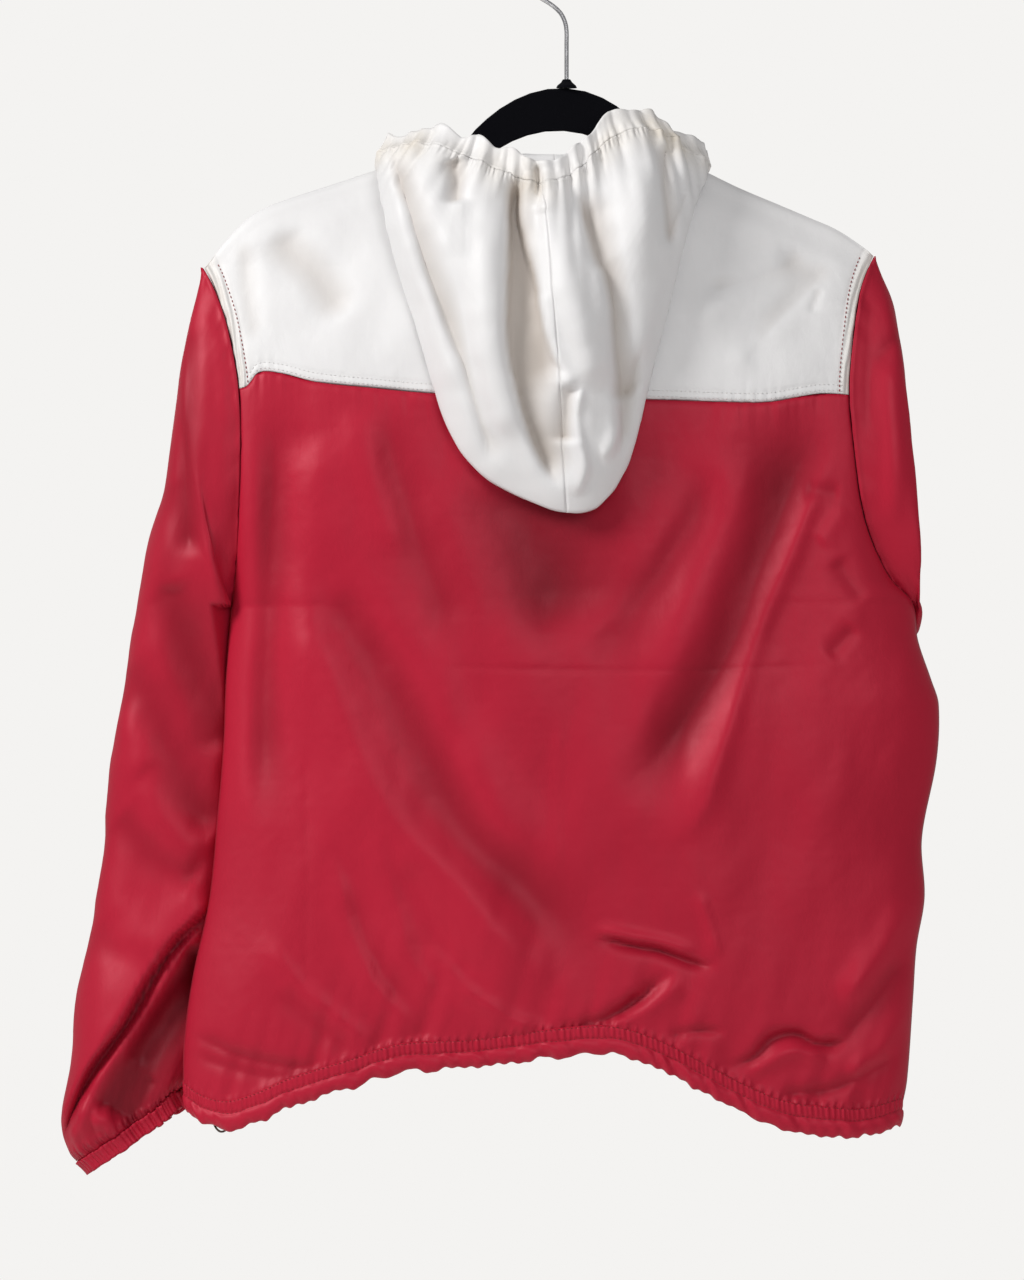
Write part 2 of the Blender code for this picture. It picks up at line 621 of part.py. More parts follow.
def make_panels(white, red):
    for face, word in ((1, "back"), (-1, "front")):
        grid = panel_grid(yoke_point, face, YOKE_COLUMNS, 6, 1.7)
        edges = panel_normals(grid, face, True)
        wall_object(word + "_yoke", grid, white, WALL, flip=face < 0, set_normals=edges, square={-1: UP})
        grid = panel_grid(panel_point, face, 20, 12, 1.0)
        edges = panel_normals(grid, face, False)
        wall_object(word + "_body", grid, red, WALL, flip=face < 0, set_normals=edges,
                    square={0: UP, -1: UP})


def make_hem(red):
    rounds = 40
    grid = [[hem_point(4 * i / rounds, j / 2) for j in range(3)] for i in range(rounds)]
    fixed = {}
    for i in (0, rounds // 2):
        for j in range(3):
            fixed[(i, j)] = Vector((-1 if i == 0 else 1, 0, 0))
    wall_object("hem_casing", grid, red, BAND_WALL, closed=True, set_normals=fixed, square={0: UP})


def make_sleeves(red):
    rounds = 18
    for side, word in ((1, "left"), (-1, "right")):
        flip = side < 0
        grid = []
        for i in range(rounds):
            grid.append([sleeve_point(side, i / rounds, j / 15) for j in range(16)])
        fixed = {}
        for i in range(rounds):
            grid[i][0].x += side * SEAM
            fixed[(i, 0)] = loop_normal(side, i / rounds)
        down = cuff_direction(side)
        wall_object("sleeve_" + word, grid, red, WALL, closed=True, flip=flip, set_normals=fixed,
                    square={-1: down})
        grid = [[cuff_point(side, i / rounds, j / 2) for j in range(3)] for i in range(rounds)]
        wall_object("cuff_" + word, grid, red, BAND_WALL, closed=True, flip=flip, square={0: down})


def casing_seam_out(shares):
    """Direction out of the hood at the seam of its casing, shared by both."""
    out = []
    for u in shares:
        before, here, after = [hood_rib(min(max(u + d, 0.0), 1.0)) for d in (-0.012, 0.0, 0.012)]
        seams = [rib_point(rib, rib[1][-1] - HOOD_BAND) for rib in (before, after)]
        run = rib_point(here, here[1][-1] - HOOD_BAND + 3) - rib_point(here, here[1][-1] - HOOD_BAND - 3)
        out.append(run.cross(seams[1] - seams[0]).normalized())
    return out


def make_hood(white):
    for side, word in ((1, "left"), (-1, "right")):
        count = 14
        shares = [0.5 * i / count if side > 0 else 0.5 + 0.5 * i / count for i in range(count + 1)]
        grid = hood_grid(shares, 18, False)
        middle = grid[-1] if side > 0 else grid[0]
        for p in middle:
            p.x += side * SEAM / 2
        fixed = {(i, 18): out for i, out in enumerate(casing_seam_out(shares))}
        for i, u in enumerate(shares):
            fixed[(i, 0)] = neck_out(-1 if u < 0.2 or u > 0.8 else 1, grid[i][0].x)
        wall_object("hood_" + word, grid, white, WALL, flip=True, set_normals=fixed)
    shares = [i / 28 for i in range(29)]
    fixed = {(i, 0): out for i, out in enumerate(casing_seam_out(shares))}
    wall_object("hood_casing", hood_grid(shares, 2, True), white, 2.0, flip=True, set_normals=fixed)


# ---------------------------------------------------------------- hanger and cord
def tilt(x, z):
    """Turn a point of the hanger about its collar."""
    down = z - COLLAR_FOOT
    turned_x = x * math.cos(HANGER_TILT) - down * math.sin(HANGER_TILT)
    turned_z = x * math.sin(HANGER_TILT) + down * math.cos(HANGER_TILT) + COLLAR_FOOT
    return turned_x, turned_z


def make_hanger(black):
    right = [(-x, top, low) for x, top, low in HANGER_HALF[:0:-1]]
    whole = right + list(HANGER_HALF)
    top_line = [tilt(x, top) for x, top, _ in whole]
    low_line = [tilt(x, low) for x, _, low in whole]
    outline = top_line + low_line[::-1]
    mesh = bpy.data.meshes.new("hanger_body")
    count = len(outline)
    half = HANGER_THICK / 2
    points = [(x * MM, -half * MM, z * MM) for x, z in outline]
    points += [(x * MM, half * MM, z * MM) for x, z in outline]
    faces = []
    last = len(whole) - 1
    for k in range(last):
        quad = (k, k + 1, count - 2 - k, count - 1 - k)
        faces.append(quad[::-1])
        faces.append(tuple(count + i for i in quad))
    for k in range(count):
        after = (k + 1) % count
        faces.append((k, after, count + after, count + k))
    mesh.from_pydata(points, [], faces)
    mesh.materials.append(black)
    made = bpy.data.objects.new("hanger_body", mesh)
    bpy.context.collection.objects.link(made)
    bevel = made.modifiers.new("soft_edge", "BEVEL")
    bevel.width = 1.2 * MM
    bevel.segments = 2
    bevel.angle_limit = math.radians(60)
    return made


def make_collar(black):
    """A small cone with a bore for the hook's shank."""
    rounds = 24
    bore = WIRE_RADIUS + SEAM
    profile = ((bore, COLLAR_FOOT), (bore, COLLAR_TOP), (bore + 0.9, COLLAR_TOP), (4.2, -90.2),
               (7.0, -92.6), (7.8, COLLAR_FOOT))
    points = []
    for k in range(rounds):
        turn = 2 * math.pi * k / rounds
        for radius, z in profile:
            points.append((radius * math.cos(turn) * MM, radius * math.sin(turn) * MM, z * MM))
    size = len(profile)
    faces = []
    for k in range(rounds):
        for j in range(size):
            here = k * size
            after = ((k + 1) % rounds) * size
            n = (j + 1) % size
            faces.append((here + j, here + n, after + n, after + j))
    mesh = bpy.data.meshes.new("hanger_collar")
    mesh.from_pydata(points, [], faces)
    mesh.materials.append(black)
    for polygon in mesh.polygons:
        polygon.use_smooth = True
    mesh.set_sharp_from_angle(angle=math.radians(40))
    made = bpy.data.objects.new("hanger_collar", mesh)
    bpy.context.collection.objects.link(made)
    return made


def make_tube(name, route, radius, material, resolution):
    curve = bpy.data.curves.new(name, "CURVE")
    curve.dimensions = "3D"
    curve.bevel_depth = radius * MM
    curve.bevel_resolution = resolution
    curve.use_fill_caps = True
    spline = curve.splines.new("POLY")
    spline.points.add(len(route) - 1)
    for knot, place in zip(spline.points, route):
        knot.co = (place.x * MM, place.y * MM, place.z * MM, 1.0)
    curve.materials.append(material)
    made = bpy.data.objects.new(name, curve)
    bpy.context.collection.objects.link(made)
    return made


def make_hook(chrome):
    knots = [Vector((x, 0, z)) for x, z in HOOK_BEND]
    middle = WIRE_RADIUS - CROOK_RADIUS
    turns = 26
    crook = []
    for k in range(turns + 1):
        angle = CROOK_START + (CROOK_END - CROOK_START) * k / turns
        crook.append(Vector((CROOK_RADIUS * math.cos(angle), 0, middle + CROOK_RADIUS * math.sin(angle))))
    bend = [round_curve(knots + crook[:1], 0.5 * i) for i in range(2 * len(knots) + 1)]
    route = [Vector((0, 0, SHANK_FOOT))] + bend[:-1] + crook
    make_tube("hanger_hook", route, WIRE_RADIUS, chrome, 3)


def make_cord(dark):
    knots = []
    for x, z in CORD_ROUTE:
        inside = body_y(1, x, -850) - BAND_WALL - CORD_RADIUS - 3.6
        knots.append(Vector((x, inside, z)))
    route = [round_curve(knots, i / 2) for i in range(2 * len(knots) - 1)]
    make_tube("hem_cord_loop", route, CORD_RADIUS, dark, 2)


def main():
    clear_scene()
    white = finish_material("white_shell", (0.80, 0.80, 0.82), 0.45)
    red = finish_material("red_shell", (0.42, 0.012, 0.028), 0.42)
    black = finish_material("black_flock", (0.005, 0.006, 0.008), 0.95)
    chrome = finish_material("chrome", (0.62, 0.62, 0.64), 0.15, 1.0)
    dark = finish_material("dark_cord", (0.03, 0.02, 0.012), 0.7)
    make_panels(white, red)
    make_hem(red)
    make_sleeves(red)
    make_hood(white)
    make_hanger(black)
    make_collar(black)
    make_hook(chrome)
    make_cord(dark)


main()
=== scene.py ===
# %% [markdown]
# # A pullover anorak on a hanger
#
# The anorak hangs with its back towards us. Its red shell and white yoke and hood are thin woven
# nylon, so what makes it look real is not the outline but the folds: long soft rolls where the body
# hangs, short sharp pinches where it catches, and rows of tiny puckers wherever elastic or a cord
# draws the cloth in. We shape each cloth piece as one fine grid of points, lay the folds on it from
# tables, and let modifiers give it its thickness.

# %% Load the frame
import math

import bmesh
import bpy
import numpy as np
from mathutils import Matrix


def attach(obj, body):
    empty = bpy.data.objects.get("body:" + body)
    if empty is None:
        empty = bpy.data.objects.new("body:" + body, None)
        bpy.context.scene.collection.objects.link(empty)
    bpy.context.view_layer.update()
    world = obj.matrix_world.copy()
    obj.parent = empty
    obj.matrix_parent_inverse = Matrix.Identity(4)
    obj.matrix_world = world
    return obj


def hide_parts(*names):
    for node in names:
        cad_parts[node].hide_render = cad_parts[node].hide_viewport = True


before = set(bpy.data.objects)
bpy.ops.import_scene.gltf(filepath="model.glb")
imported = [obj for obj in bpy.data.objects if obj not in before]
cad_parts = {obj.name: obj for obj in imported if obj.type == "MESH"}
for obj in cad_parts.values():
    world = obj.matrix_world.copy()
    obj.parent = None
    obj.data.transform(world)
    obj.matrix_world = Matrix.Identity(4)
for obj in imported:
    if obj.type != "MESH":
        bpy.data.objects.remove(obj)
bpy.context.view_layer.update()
MM = 0.001            # metres in a millimetre
print(sorted(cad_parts))

# %% [markdown]
# ## Reading curves from short tables
#
# A pattern maker draws a smooth line through a few marks. We do the same: each outline is a short
# table, and a smooth curve is read from it at as many places as the fine cloth needs. Everything
# here works on whole arrays of points at once, which keeps a grid of forty thousand points quick.

# %% Smooth reading of a table
def along(table, at, column=1):
    """Read a table's column at values of its first column, on a smooth curve."""
    rows = np.array(table if table[0][0] < table[-1][0] else table[::-1], float)
    xs = rows[:, 0]
    ys = rows[:, column]
    slopes = np.empty_like(ys)
    slopes[1:-1] = (ys[2:] - ys[:-2]) / (xs[2:] - xs[:-2])
    slopes[0] = (ys[1] - ys[0]) / (xs[1] - xs[0])
    slopes[-1] = (ys[-1] - ys[-2]) / (xs[-1] - xs[-2])
    at = np.clip(np.asarray(at, float), xs[0], xs[-1])
    k = np.clip(np.searchsorted(xs, at) - 1, 0, len(xs) - 2)
    span = xs[k + 1] - xs[k]
    t = (at - xs[k]) / span
    return (ys[k] * (1 + 2 * t) * (1 - t) ** 2 + ys[k + 1] * t * t * (3 - 2 * t)
            + span * slopes[k] * t * (1 - t) ** 2 - span * slopes[k + 1] * t * t * (1 - t))


def line_lengths(points):
    """Length along a line of points, at each of them."""
    return np.concatenate([[0], np.cumsum(np.linalg.norm(np.diff(points, axis=0), axis=1))])


def smooth_step(low, high, at):
    """0 below low, 1 above high, and a smooth rise between them."""
    t = np.clip((np.asarray(at, float) - low) / (high - low), 0.0, 1.0)
    return t * t * (3 - 2 * t)


def round_rows(knots, t):
    """Points on the smooth curve through rows of knots, at places t from 0 to their count less one."""
    knots = np.asarray(knots, float)
    t = np.asarray(t, float)
    low = np.clip(t.astype(int), 0, len(knots) - 2)
    s = (t - low)[:, None] if knots.ndim == 2 else (t - low)[:, None, None]
    before = np.where(low > 0, low - 1, 0)
    after = np.where(low + 2 < len(knots), low + 2, len(knots) - 1)
    p1, p2 = knots[low], knots[low + 1]
    shape = (-1,) + (1,) * (knots.ndim - 1)
    first = (low == 0).reshape(shape)
    final = (low + 2 >= len(knots)).reshape(shape)
    p0 = np.where(first, 2 * p1 - p2, knots[before])
    p3 = np.where(final, 2 * p2 - p1, knots[after])
    return 0.5 * (2 * p1 + (p2 - p0) * s + (2 * p0 - 5 * p1 + 4 * p2 - p3) * s * s
                  + (3 * p1 - p0 - 3 * p2 + p3) * s ** 3)


print("a table is read at any point:", float(along(((0, 0), (10, 5), (20, 5)), 5)))

# %% [markdown]
# ## Folds as lines with a profile
#
# A fold in nylon is a line with a cross-section: soft and round where the cloth rolls over, sharp
# where it was creased, and a valley where two rolls meet. Each row of a fold table has a name, the
# points of its line (x, z), the half width, the height (minus for a valley), how sharp its crest is,
# from 0 for a round roll to 1 for a crease, and how much it leans, which makes one flank steeper.

# %% One fold, and a table of folds
def nearest_on_line(points, x, z):
    """Signed distance to a line of points, and the share of the line where it is nearest."""
    points = np.array(points, float)
    count = len(points) - 1
    fine = round_rows(points, np.linspace(0, count, 6 * count + 1))
    lengths = np.concatenate([[0], np.cumsum(np.hypot(*(fine[1:] - fine[:-1]).T))])
    best = np.full(x.shape, 1e9)
    share = np.zeros(x.shape)
    side = np.ones(x.shape)
    for k in range(len(fine) - 1):
        ax, az = fine[k]
        dx, dz = fine[k + 1] - fine[k]
        long = dx * dx + dz * dz
        t = np.clip(((x - ax) * dx + (z - az) * dz) / long, 0.0, 1.0)
        gx = x - ax - dx * t
        gz = z - az - dz * t
        gap = np.hypot(gx, gz)
        near = gap < best
        best = np.where(near, gap, best)
        share = np.where(near, (lengths[k] + t * math.sqrt(long)) / lengths[-1], share)
        side = np.where(near, np.where(dx * gz - dz * gx > 0, 1.0, -1.0), side)
    return best * side, share


def fold_profile(gap, half_width, sharp, lean):
    """Height across a fold, 1 at its crest."""
    across_it = gap / (half_width * np.where(gap > 0, 1 + lean, 1 - lean))
    soft = np.exp(-across_it ** 2)
    crease = np.exp(-1.6 * np.abs(across_it))
    return (1 - sharp) * soft + sharp * crease


def folds_at(table, x, z, ends=0.22):
    """The sum of a table's folds at x, z, in millimetres."""
    height = np.zeros(np.shape(x))
    for _, points, half_width, top, sharp, lean in table:
        reach = 3.2 * half_width
        xs = [p[0] for p in points]
        zs = [p[1] for p in points]
        near = ((x > min(xs) - reach) & (x < max(xs) + reach)
                & (z > min(zs) - reach) & (z < max(zs) + reach))
        if not near.any():
            continue
        gap, share = nearest_on_line(points, x[near], z[near])
        fade = smooth_step(0, ends, share) * smooth_step(1, 1 - ends, share)
        height[near] += top * fade * fold_profile(gap, half_width, sharp, lean)
    return height


print("half a width from its line, a soft fold still has",
      round(float(fold_profile(np.array([0.5]), 1.0, 0.0, 0.0)[0]), 2), "of its height")

# %% [markdown]
# ## Small wrinkles
#
# Between the named folds the nylon is never smooth. A few layers of gentle noise, stretched along
# the way the cloth hangs, give it the faint unevenness that catches the light. The noise is made of
# sine waves in fixed random directions, so it comes out the same every time.

# %% Seeded wrinkle noise
def wrinkles(u, v, seed, scale, waves=26, lean=0.0):
    """Soft irregular noise between about -1 and 1. scale is the wave length in millimetres."""
    rng = np.random.default_rng(seed)
    total = np.zeros(np.shape(u))
    for _ in range(waves):
        turn = rng.uniform(0, math.pi)
        length = scale * rng.uniform(0.6, 1.7)
        phase = rng.uniform(0, 2 * math.pi)
        way = (u + lean * v) * math.cos(turn) + v * math.sin(turn)
        total = total + np.sin(2 * math.pi * way / length + phase)
    return total / math.sqrt(waves)


def crumple(u, v, seed, scale):
    """Noise with sharp crests and broad hollows, as thin cloth crumples."""
    bent = v + 0.3 * scale * wrinkles(u, v, seed + 7, 3 * scale, 12)
    return np.abs(wrinkles(u, bent, seed, scale, 20)) - 0.8


print("one wrinkle reading:", round(float(wrinkles(np.array([3.0]), np.array([8.0]), 5, 40)[0]), 3))

# %% [markdown]
# ## The anorak's pattern
#
# These tables are the anorak's outline as it hangs, in millimetres: the shoulder line, the two sides,
# the seam under the yoke, the drawn-in hem, and how deep the body is below the shoulders. They are
# the same outlines that the solid under the cloth was built on, so the fine cloth lies on its form.

# %% Outline tables
WALL = 0.8            # wall of one layer of cloth
BAND_WALL = 2.2       # wall of a casing with its elastic or cord
SEAM = 0.3            # gap between two pieces at a seam
HEM_BAND = 17.0
SHIR_RISE = 5.0       # the shirred band of the hem starts this far up, over the panels
CUFF_BAND = 13.0
HOOD_BAND = 17.0
LAY_CLEAR = 3.0
SHOULDER_LINE = (
    (-229, -220), (-223, -214.5), (-202, -200.5), (-182, -191.6), (-157, -181), (-128, -168.7),
    (-102, -156), (-92.5, -151.5), (3, -147), (97.7, -142), (137, -154), (173, -166), (207, -177),
    (224, -183.5), (238, -192), (254, -208.6), (270, -228.6))
NECK_RIGHT = -92.5
NECK_LEFT = 97.7
NECK_BACK_Z = -168.0
NECK_FRONT_Z = -228.0
NECK_MIDDLE = (NECK_LEFT + NECK_RIGHT) / 2
NECK_HALF = (NECK_LEFT - NECK_RIGHT) / 2
SHOULDER_LEFT_Z = -228.6
SHOULDER_RIGHT_Z = -220.0
LEFT_EDGE = (
    (-229, 270), (-241, 263.5), (-257.5, 257), (-271.5, 252.5), (-299, 246.5), (-320, 243.5),
    (-358, 242), (-447, 246), (-480, 250), (-532, 254), (-585, 256), (-638, 260.5), (-699, 266.5),
    (-758, 279), (-806, 285.5), (-845, 285.5), (-875, 283))
RIGHT_EDGE = (
    (-220, -228.7), (-235, -222), (-249, -217.6), (-271, -214), (-306, -210), (-325, -209.4),
    (-351, -211.6), (-398, -217.6), (-424, -224), (-442.5, -231.6), (-461, -242), (-478, -258),
    (-506, -262), (-536, -272), (-554, -277.5), (-595, -276), (-654, -265), (-698, -267),
    (-735, -261), (-772, -258.5), (-834, -254), (-852, -250.5), (-880, -243))
UNDERARM_LEFT = -480.0
UNDERARM_RIGHT = -478.0
SHOULDER_MIDDLE = 20.65
SHOULDER_HALF = 249.35
BODY_MIDDLE = 17.0    # the front's folds are the back's, turned over about this line
YOKE_SEAM = (
    (-212, -324), (-190, -323), (-175, -325), (-154, -329), (-137, -330), (-69, -328), (97, -323.3),
    (145, -319), (187, -314.4), (212, -308), (229, -307.5), (237, -317), (246, -320))
YOKE_SEAM_ENDS = (-209.4, 243.5)
HEM_EDGE = (
    (-250, -868), (-220, -875), (-199, -874), (-163, -869), (-128, -854.6), (-98, -838.4),
    (-67, -822.8), (-35, -813.2), (5, -814.7), (71, -822.8), (125, -826.5), (158, -837),
    (206, -852.4), (229, -862.8), (251, -869.4), (270, -866), (286, -856))
HEM_ENDS = (-250.9, 285.3)
HEM_SIDES = (-247, 285)
DEPTH = (
    (0, 0.15, 0.15), (3.5, 4.6, 4.6), (12, 8.5, 8.5), (26, 15, 16), (60, 25, 28), (120, 37, 42),
    (200, 45, 52), (300, 50, 57), (450, 53, 59), (620, 54, 57), (760, 50, 52))
ARMHOLE_DEPTH = 27.0
print("the body is", YOKE_SEAM_ENDS[1] - YOKE_SEAM_ENDS[0], "mm wide at the yoke seam")

# %% [markdown]
# ## Where the big folds lie
#
# The body of the anorak hangs from the hanger at the shoulders and is drawn in at the hem, so its
# spare cloth falls in two families of long diagonal rolls that run from the sides down to the middle,
# and a fan of shorter ones over the hem where the elastic holds it. Thin straight lines are creases
# from when it lay folded.

# %% Folds of the red back
BACK_FOLDS = (
    ("long_roll", ((206, -436), (198, -469), (181, -525), (156, -591), (126, -642), (85, -683),
     (52, -720), (18, -757), (-10, -772)), 27, 10, 0.1, 0.25),
    ("long_valley", ((198, -417), (171, -474), (130, -530), (100, -590), (70, -649), (33, -690),
     (-1, -724), (-19, -761)), 23, -7, 0.05, 0),
    ("roll_beside_it", ((168, -447), (118, -517), (83, -580), (46, -639), (13, -684)), 22, 5, 0,
     0),
    ("left_edge_valley", ((218, -328), (218, -380), (220, -437), (223, -522), (226, -595),
     (226, -647)), 15, -6.5, 0.1, 0),
    ("left_edge_roll", ((235, -328), (235, -447), (240, -550), (242, -662)), 11, 4, 0, 0),
    ("left_yoke_valley", ((145, -328), (125, -388), (115, -417), (94, -469), (79, -521)), 15, -4,
     0.1, 0),
    ("left_yoke_roll", ((161, -330), (142, -388), (125, -447)), 14, 3, 0, 0),
    ("right_valley", ((-193, -338), (-175, -369), (-150, -437), (-124, -508), (-98, -550),
     (-64, -595), (-36, -621)), 27, -13, 0.15, 0.2),
    ("right_outer_roll", ((-201, -351), (-172, -425), (-138, -508), (-112, -593), (-98, -634),
     (-64, -662)), 15, 8, 0.2, 0.35),
    ("right_inner_roll", ((-135, -358), (-116, -437), (-79, -533), (-34, -613)), 22, 6, 0, 0),
    ("right_second_valley", ((-116, -377), (-79, -437), (-41, -493), (-4, -522)), 20, -6, 0.1, 0),
    ("right_second_roll", ((-98, -380), (-65, -440), (-28, -495), (3, -521)), 17, 3.5, 0.1, 0),
    ("middle_valley", ((50, -380), (27, -447), (4, -517)), 26, -5, 0, 0),
    ("fan_1", ((176, -660), (158, -720), (145, -754), (126, -778), (109, -800)), 9, 3.4, 0.25,
     0.3),
    ("fan_2", ((146, -640), (128, -700), (115, -742), (100, -765), (85, -790)), 10, 3, 0.2, 0.3),
    ("fan_3", ((104, -728), (73, -764), (53, -778), (36, -788), (5, -797)), 8, 3.6, 0.3, 0.3),
    ("fan_4", ((226, -722), (198, -761), (168, -786), (140, -812)), 9, 3, 0.25, 0.3),
    ("fan_valley_1", ((166, -690), (152, -724), (136, -752), (114, -786)), 9, -2.4, 0.1, 0),
    ("fan_valley_2", ((120, -664), (102, -710), (88, -738), (72, -770)), 11, -2.6, 0.1, 0),
    ("fan_valley_3", ((214, -762), (190, -786), (154, -815)), 9, -2.4, 0.1, 0),
    ("left_hem_1", ((283, -797), (262, -806), (241, -815), (204, -822), (176, -824)), 6, -4, 0.5,
     0),
    ("left_hem_2", ((284, -812), (254, -822), (220, -830), (186, -829)), 6, -3, 0.5, 0),
    ("pinch", ((-20, -725), (-47, -732), (-69, -736), (-99, -746), (-112, -741)), 4.5, -7.5, 0.7,
     0.2),
    ("pinch_lip", ((-17, -718), (-43, -724), (-70, -729), (-98, -738)), 5, 3.5, 0.3, 0),
    ("pinch_down", ((-79, -749), (-65, -761), (-53, -772), (-20, -790), (20, -798)), 5.5, -6.5,
     0.6, 0),
    ("pinch_down_lip", ((-87, -755), (-61, -777), (-29, -795)), 7, 4, 0.3, 0),
    ("small_pinch", ((-53, -766), (-36, -787)), 4, -3, 0.5, 0),
    ("hem_arc", ((-75, -801), (-91, -795), (-117, -795)), 4, -4, 0.6, 0),
    ("hem_wave", ((-118, -824), (-138, -815), (-152, -801), (-170, -798), (-188, -806),
     (-216, -801)), 5.5, -7.5, 0.6, 0.2),
    ("hem_wave_lip", ((-132, -829), (-154, -815), (-172, -810), (-195, -817)), 7, 4.5, 0.3, 0),
    ("right_hem", ((-150, -843), (-178, -841), (-202, -837), (-252, -813)), 5.5, -4.5, 0.5, 0),
    ("right_side_1", ((-258, -698), (-232, -739), (-201, -778)), 11, 4.5, 0.2, 0),
    ("right_side_2", ((-258, -776), (-232, -810), (-206, -834)), 9, 4.5, 0.2, 0),
    ("right_side_valley", ((-255, -739), (-224, -780), (-202, -806)), 9, -4.5, 0.3, 0),
    ("shade_under_hood", ((10, -345), (2, -420), (-8, -500)), 52, -7, 0, 0),
    ("left_panel_roll", ((190, -350), (182, -430), (178, -500)), 26, 4.5, 0, 0),
    ("pinch_tail", ((-98, -690), (-107, -721), (-112, -741)), 5, 2.2, 0.5, 0.3),
    ("pressed_across", ((107, -525), (5, -528), (-98, -528), (-206, -524)), 2.6, -0.8, 0.8, 0),
    ("pressed_down", ((5, -543), (7, -610), (8, -687)), 2.6, 0.8, 0.8, 0.3),
    ("pressed_left", ((194, -575), (193, -676), (194, -780)), 2.6, -0.7, 0.8, 0),
    ("armhole_1", ((-176, -394), (-204, -397)), 7, -2.5, 0.2, 0),
    ("armhole_2", ((-186, -436), (-208, -406)), 8, 2, 0.1, 0),
    ("armhole_3", ((-193, -519), (-215, -495)), 7, -2.5, 0.2, 0),
    ("armhole_4", ((-199, -444), (-220, -479)), 8, -2.5, 0.2, 0))
YOKE_FOLDS = (
    ("left_valley", ((218, -195), (207, -215), (187, -234), (162, -271)), 16, -4, 0.15, 0),
    ("left_crease", ((241, -200), (238, -243), (230, -292)), 9, -2.5, 0.2, 0),
    ("right_valley", ((-182, -217), (-154, -232), (-97, -249)), 11, -4, 0.2, 0),
    ("right_valley_2", ((-199, -220), (-176, -249), (-154, -271), (-130, -306)), 12, -4, 0.2, 0),
    ("right_roll", ((-199, -229), (-157, -275), (-111, -308)), 11, 3, 0.1, 0),
    ("right_short", ((-189, -243), (-181, -264)), 4, -2, 0.4, 0),
    ("right_roll_2", ((-172, -218), (-128, -243), (-91, -277)), 13, 3, 0.1, 0))


def mirrored(table):
    """The same folds for the hidden front, turned left to right about the middle of the body."""
    return tuple((name, tuple((2 * BODY_MIDDLE - x, z) for x, z in points), width, 0.9 * top, sharp, lean)
                 for name, points, width, top, sharp, lean in table)


FRONT_FOLDS = mirrored([row for row in BACK_FOLDS if "pressed" not in row[0]])
FRONT_YOKE_FOLDS = mirrored(YOKE_FOLDS)
print(len(BACK_FOLDS), "folds on the back")

# %% [markdown]
# ## The body as a surface
#
# For any x and z, the body's outer surface stands some way out from its middle plane. The depth is
# full over the middle and rounds off to the side seams, and the folds are added on top of it.

# %% Surface of the body
def edge_x(side, z):
    """x of a side seam at height z: side is 1 for the wearer's left, -1 for the right."""
    return along(LEFT_EDGE if side > 0 else RIGHT_EDGE, z)


def across(x, z):
    """How far across the body x is: -1 at the right side seam, 1 at the left."""
    left = edge_x(1, z)
    right = edge_x(-1, z)
    return (2 * x - left - right) / (left - right)


def armhole_depth(x, z):
    """How far the armhole's edge stands out from the middle plane."""
    top = np.where(np.asarray(x) > 0, SHOULDER_LEFT_Z, SHOULDER_RIGHT_Z)
    foot = np.where(np.asarray(x) > 0, UNDERARM_LEFT, UNDERARM_RIGHT)
    share = np.clip((top - z) / (top - foot), 0.0, 1.0)
    return ARMHOLE_DEPTH * np.sin(math.pi * share).clip(0) ** 0.75


def body_parts(face, x, z):
    """Depth at the armhole edge, full depth and how far the side rounds off, at x, z."""
    place = np.minimum(np.abs(across(x, z)), 1.0)
    round_off = np.sqrt(np.maximum(1.0 - place ** 2.6, 0.0))
    drop = np.maximum(along(SHOULDER_LINE, x) - z, 0.0)
    full = along(DEPTH, drop, 1 if face > 0 else 2)
    return np.minimum(armhole_depth(x, z), full), full, round_off


def body_y(face, x, z, folds=None):
    """y of the body's outside: face is 1 for the back, -1 for the front."""
    edge, full, round_off = body_parts(face, x, z)
    height = 0.0 if folds is None else folds
    return face * np.maximum(edge + (full - edge) * round_off + height * np.minimum(round_off * 1.6, 1.0),
                             SEAM / 2)


def neck_z(face, x):
    """Height of the yoke's top edge: the shoulder line, and the neck between its ends."""
    share = np.minimum(np.abs(x - NECK_MIDDLE) / NECK_HALF, 1.0)
    line = np.where(x > NECK_MIDDLE, along(SHOULDER_LINE, NECK_LEFT), along(SHOULDER_LINE, NECK_RIGHT))
    low = NECK_BACK_Z if face > 0 else NECK_FRONT_Z
    inside = low + (line - low) * share ** (2.6 if face > 0 else 2.2)
    return np.where((x <= NECK_RIGHT) | (x >= NECK_LEFT), along(SHOULDER_LINE, x), inside)


def hem_z(face, x):
    """Height of the hem's lower edge; the front's is a little higher in its middle."""
    edge = along(HEM_EDGE, x)
    return edge if face > 0 else edge + 5.0 * smooth_step(-865, -835, edge)


def between(ends, wide):
    """Places between two ends, for wide from -1 to 1."""
    return sum(ends) / 2 + (ends[1] - ends[0]) / 2 * wide


def between_sides(z_right, z_left, wide):
    """x across the body, between the two side seams at these heights."""
    left = edge_x(1, z_left)[None, :]
    right = edge_x(-1, z_right)[None, :]
    return (left + right) / 2 + (left - right) / 2 * wide[:, None]


def spread(columns):
    """Places from the right edge to the left, -1 to 1, closer together at both edges."""
    a = np.linspace(-1, 1, columns + 1)
    return 0.55 * np.sin(a * math.pi / 2) + 0.45 * a


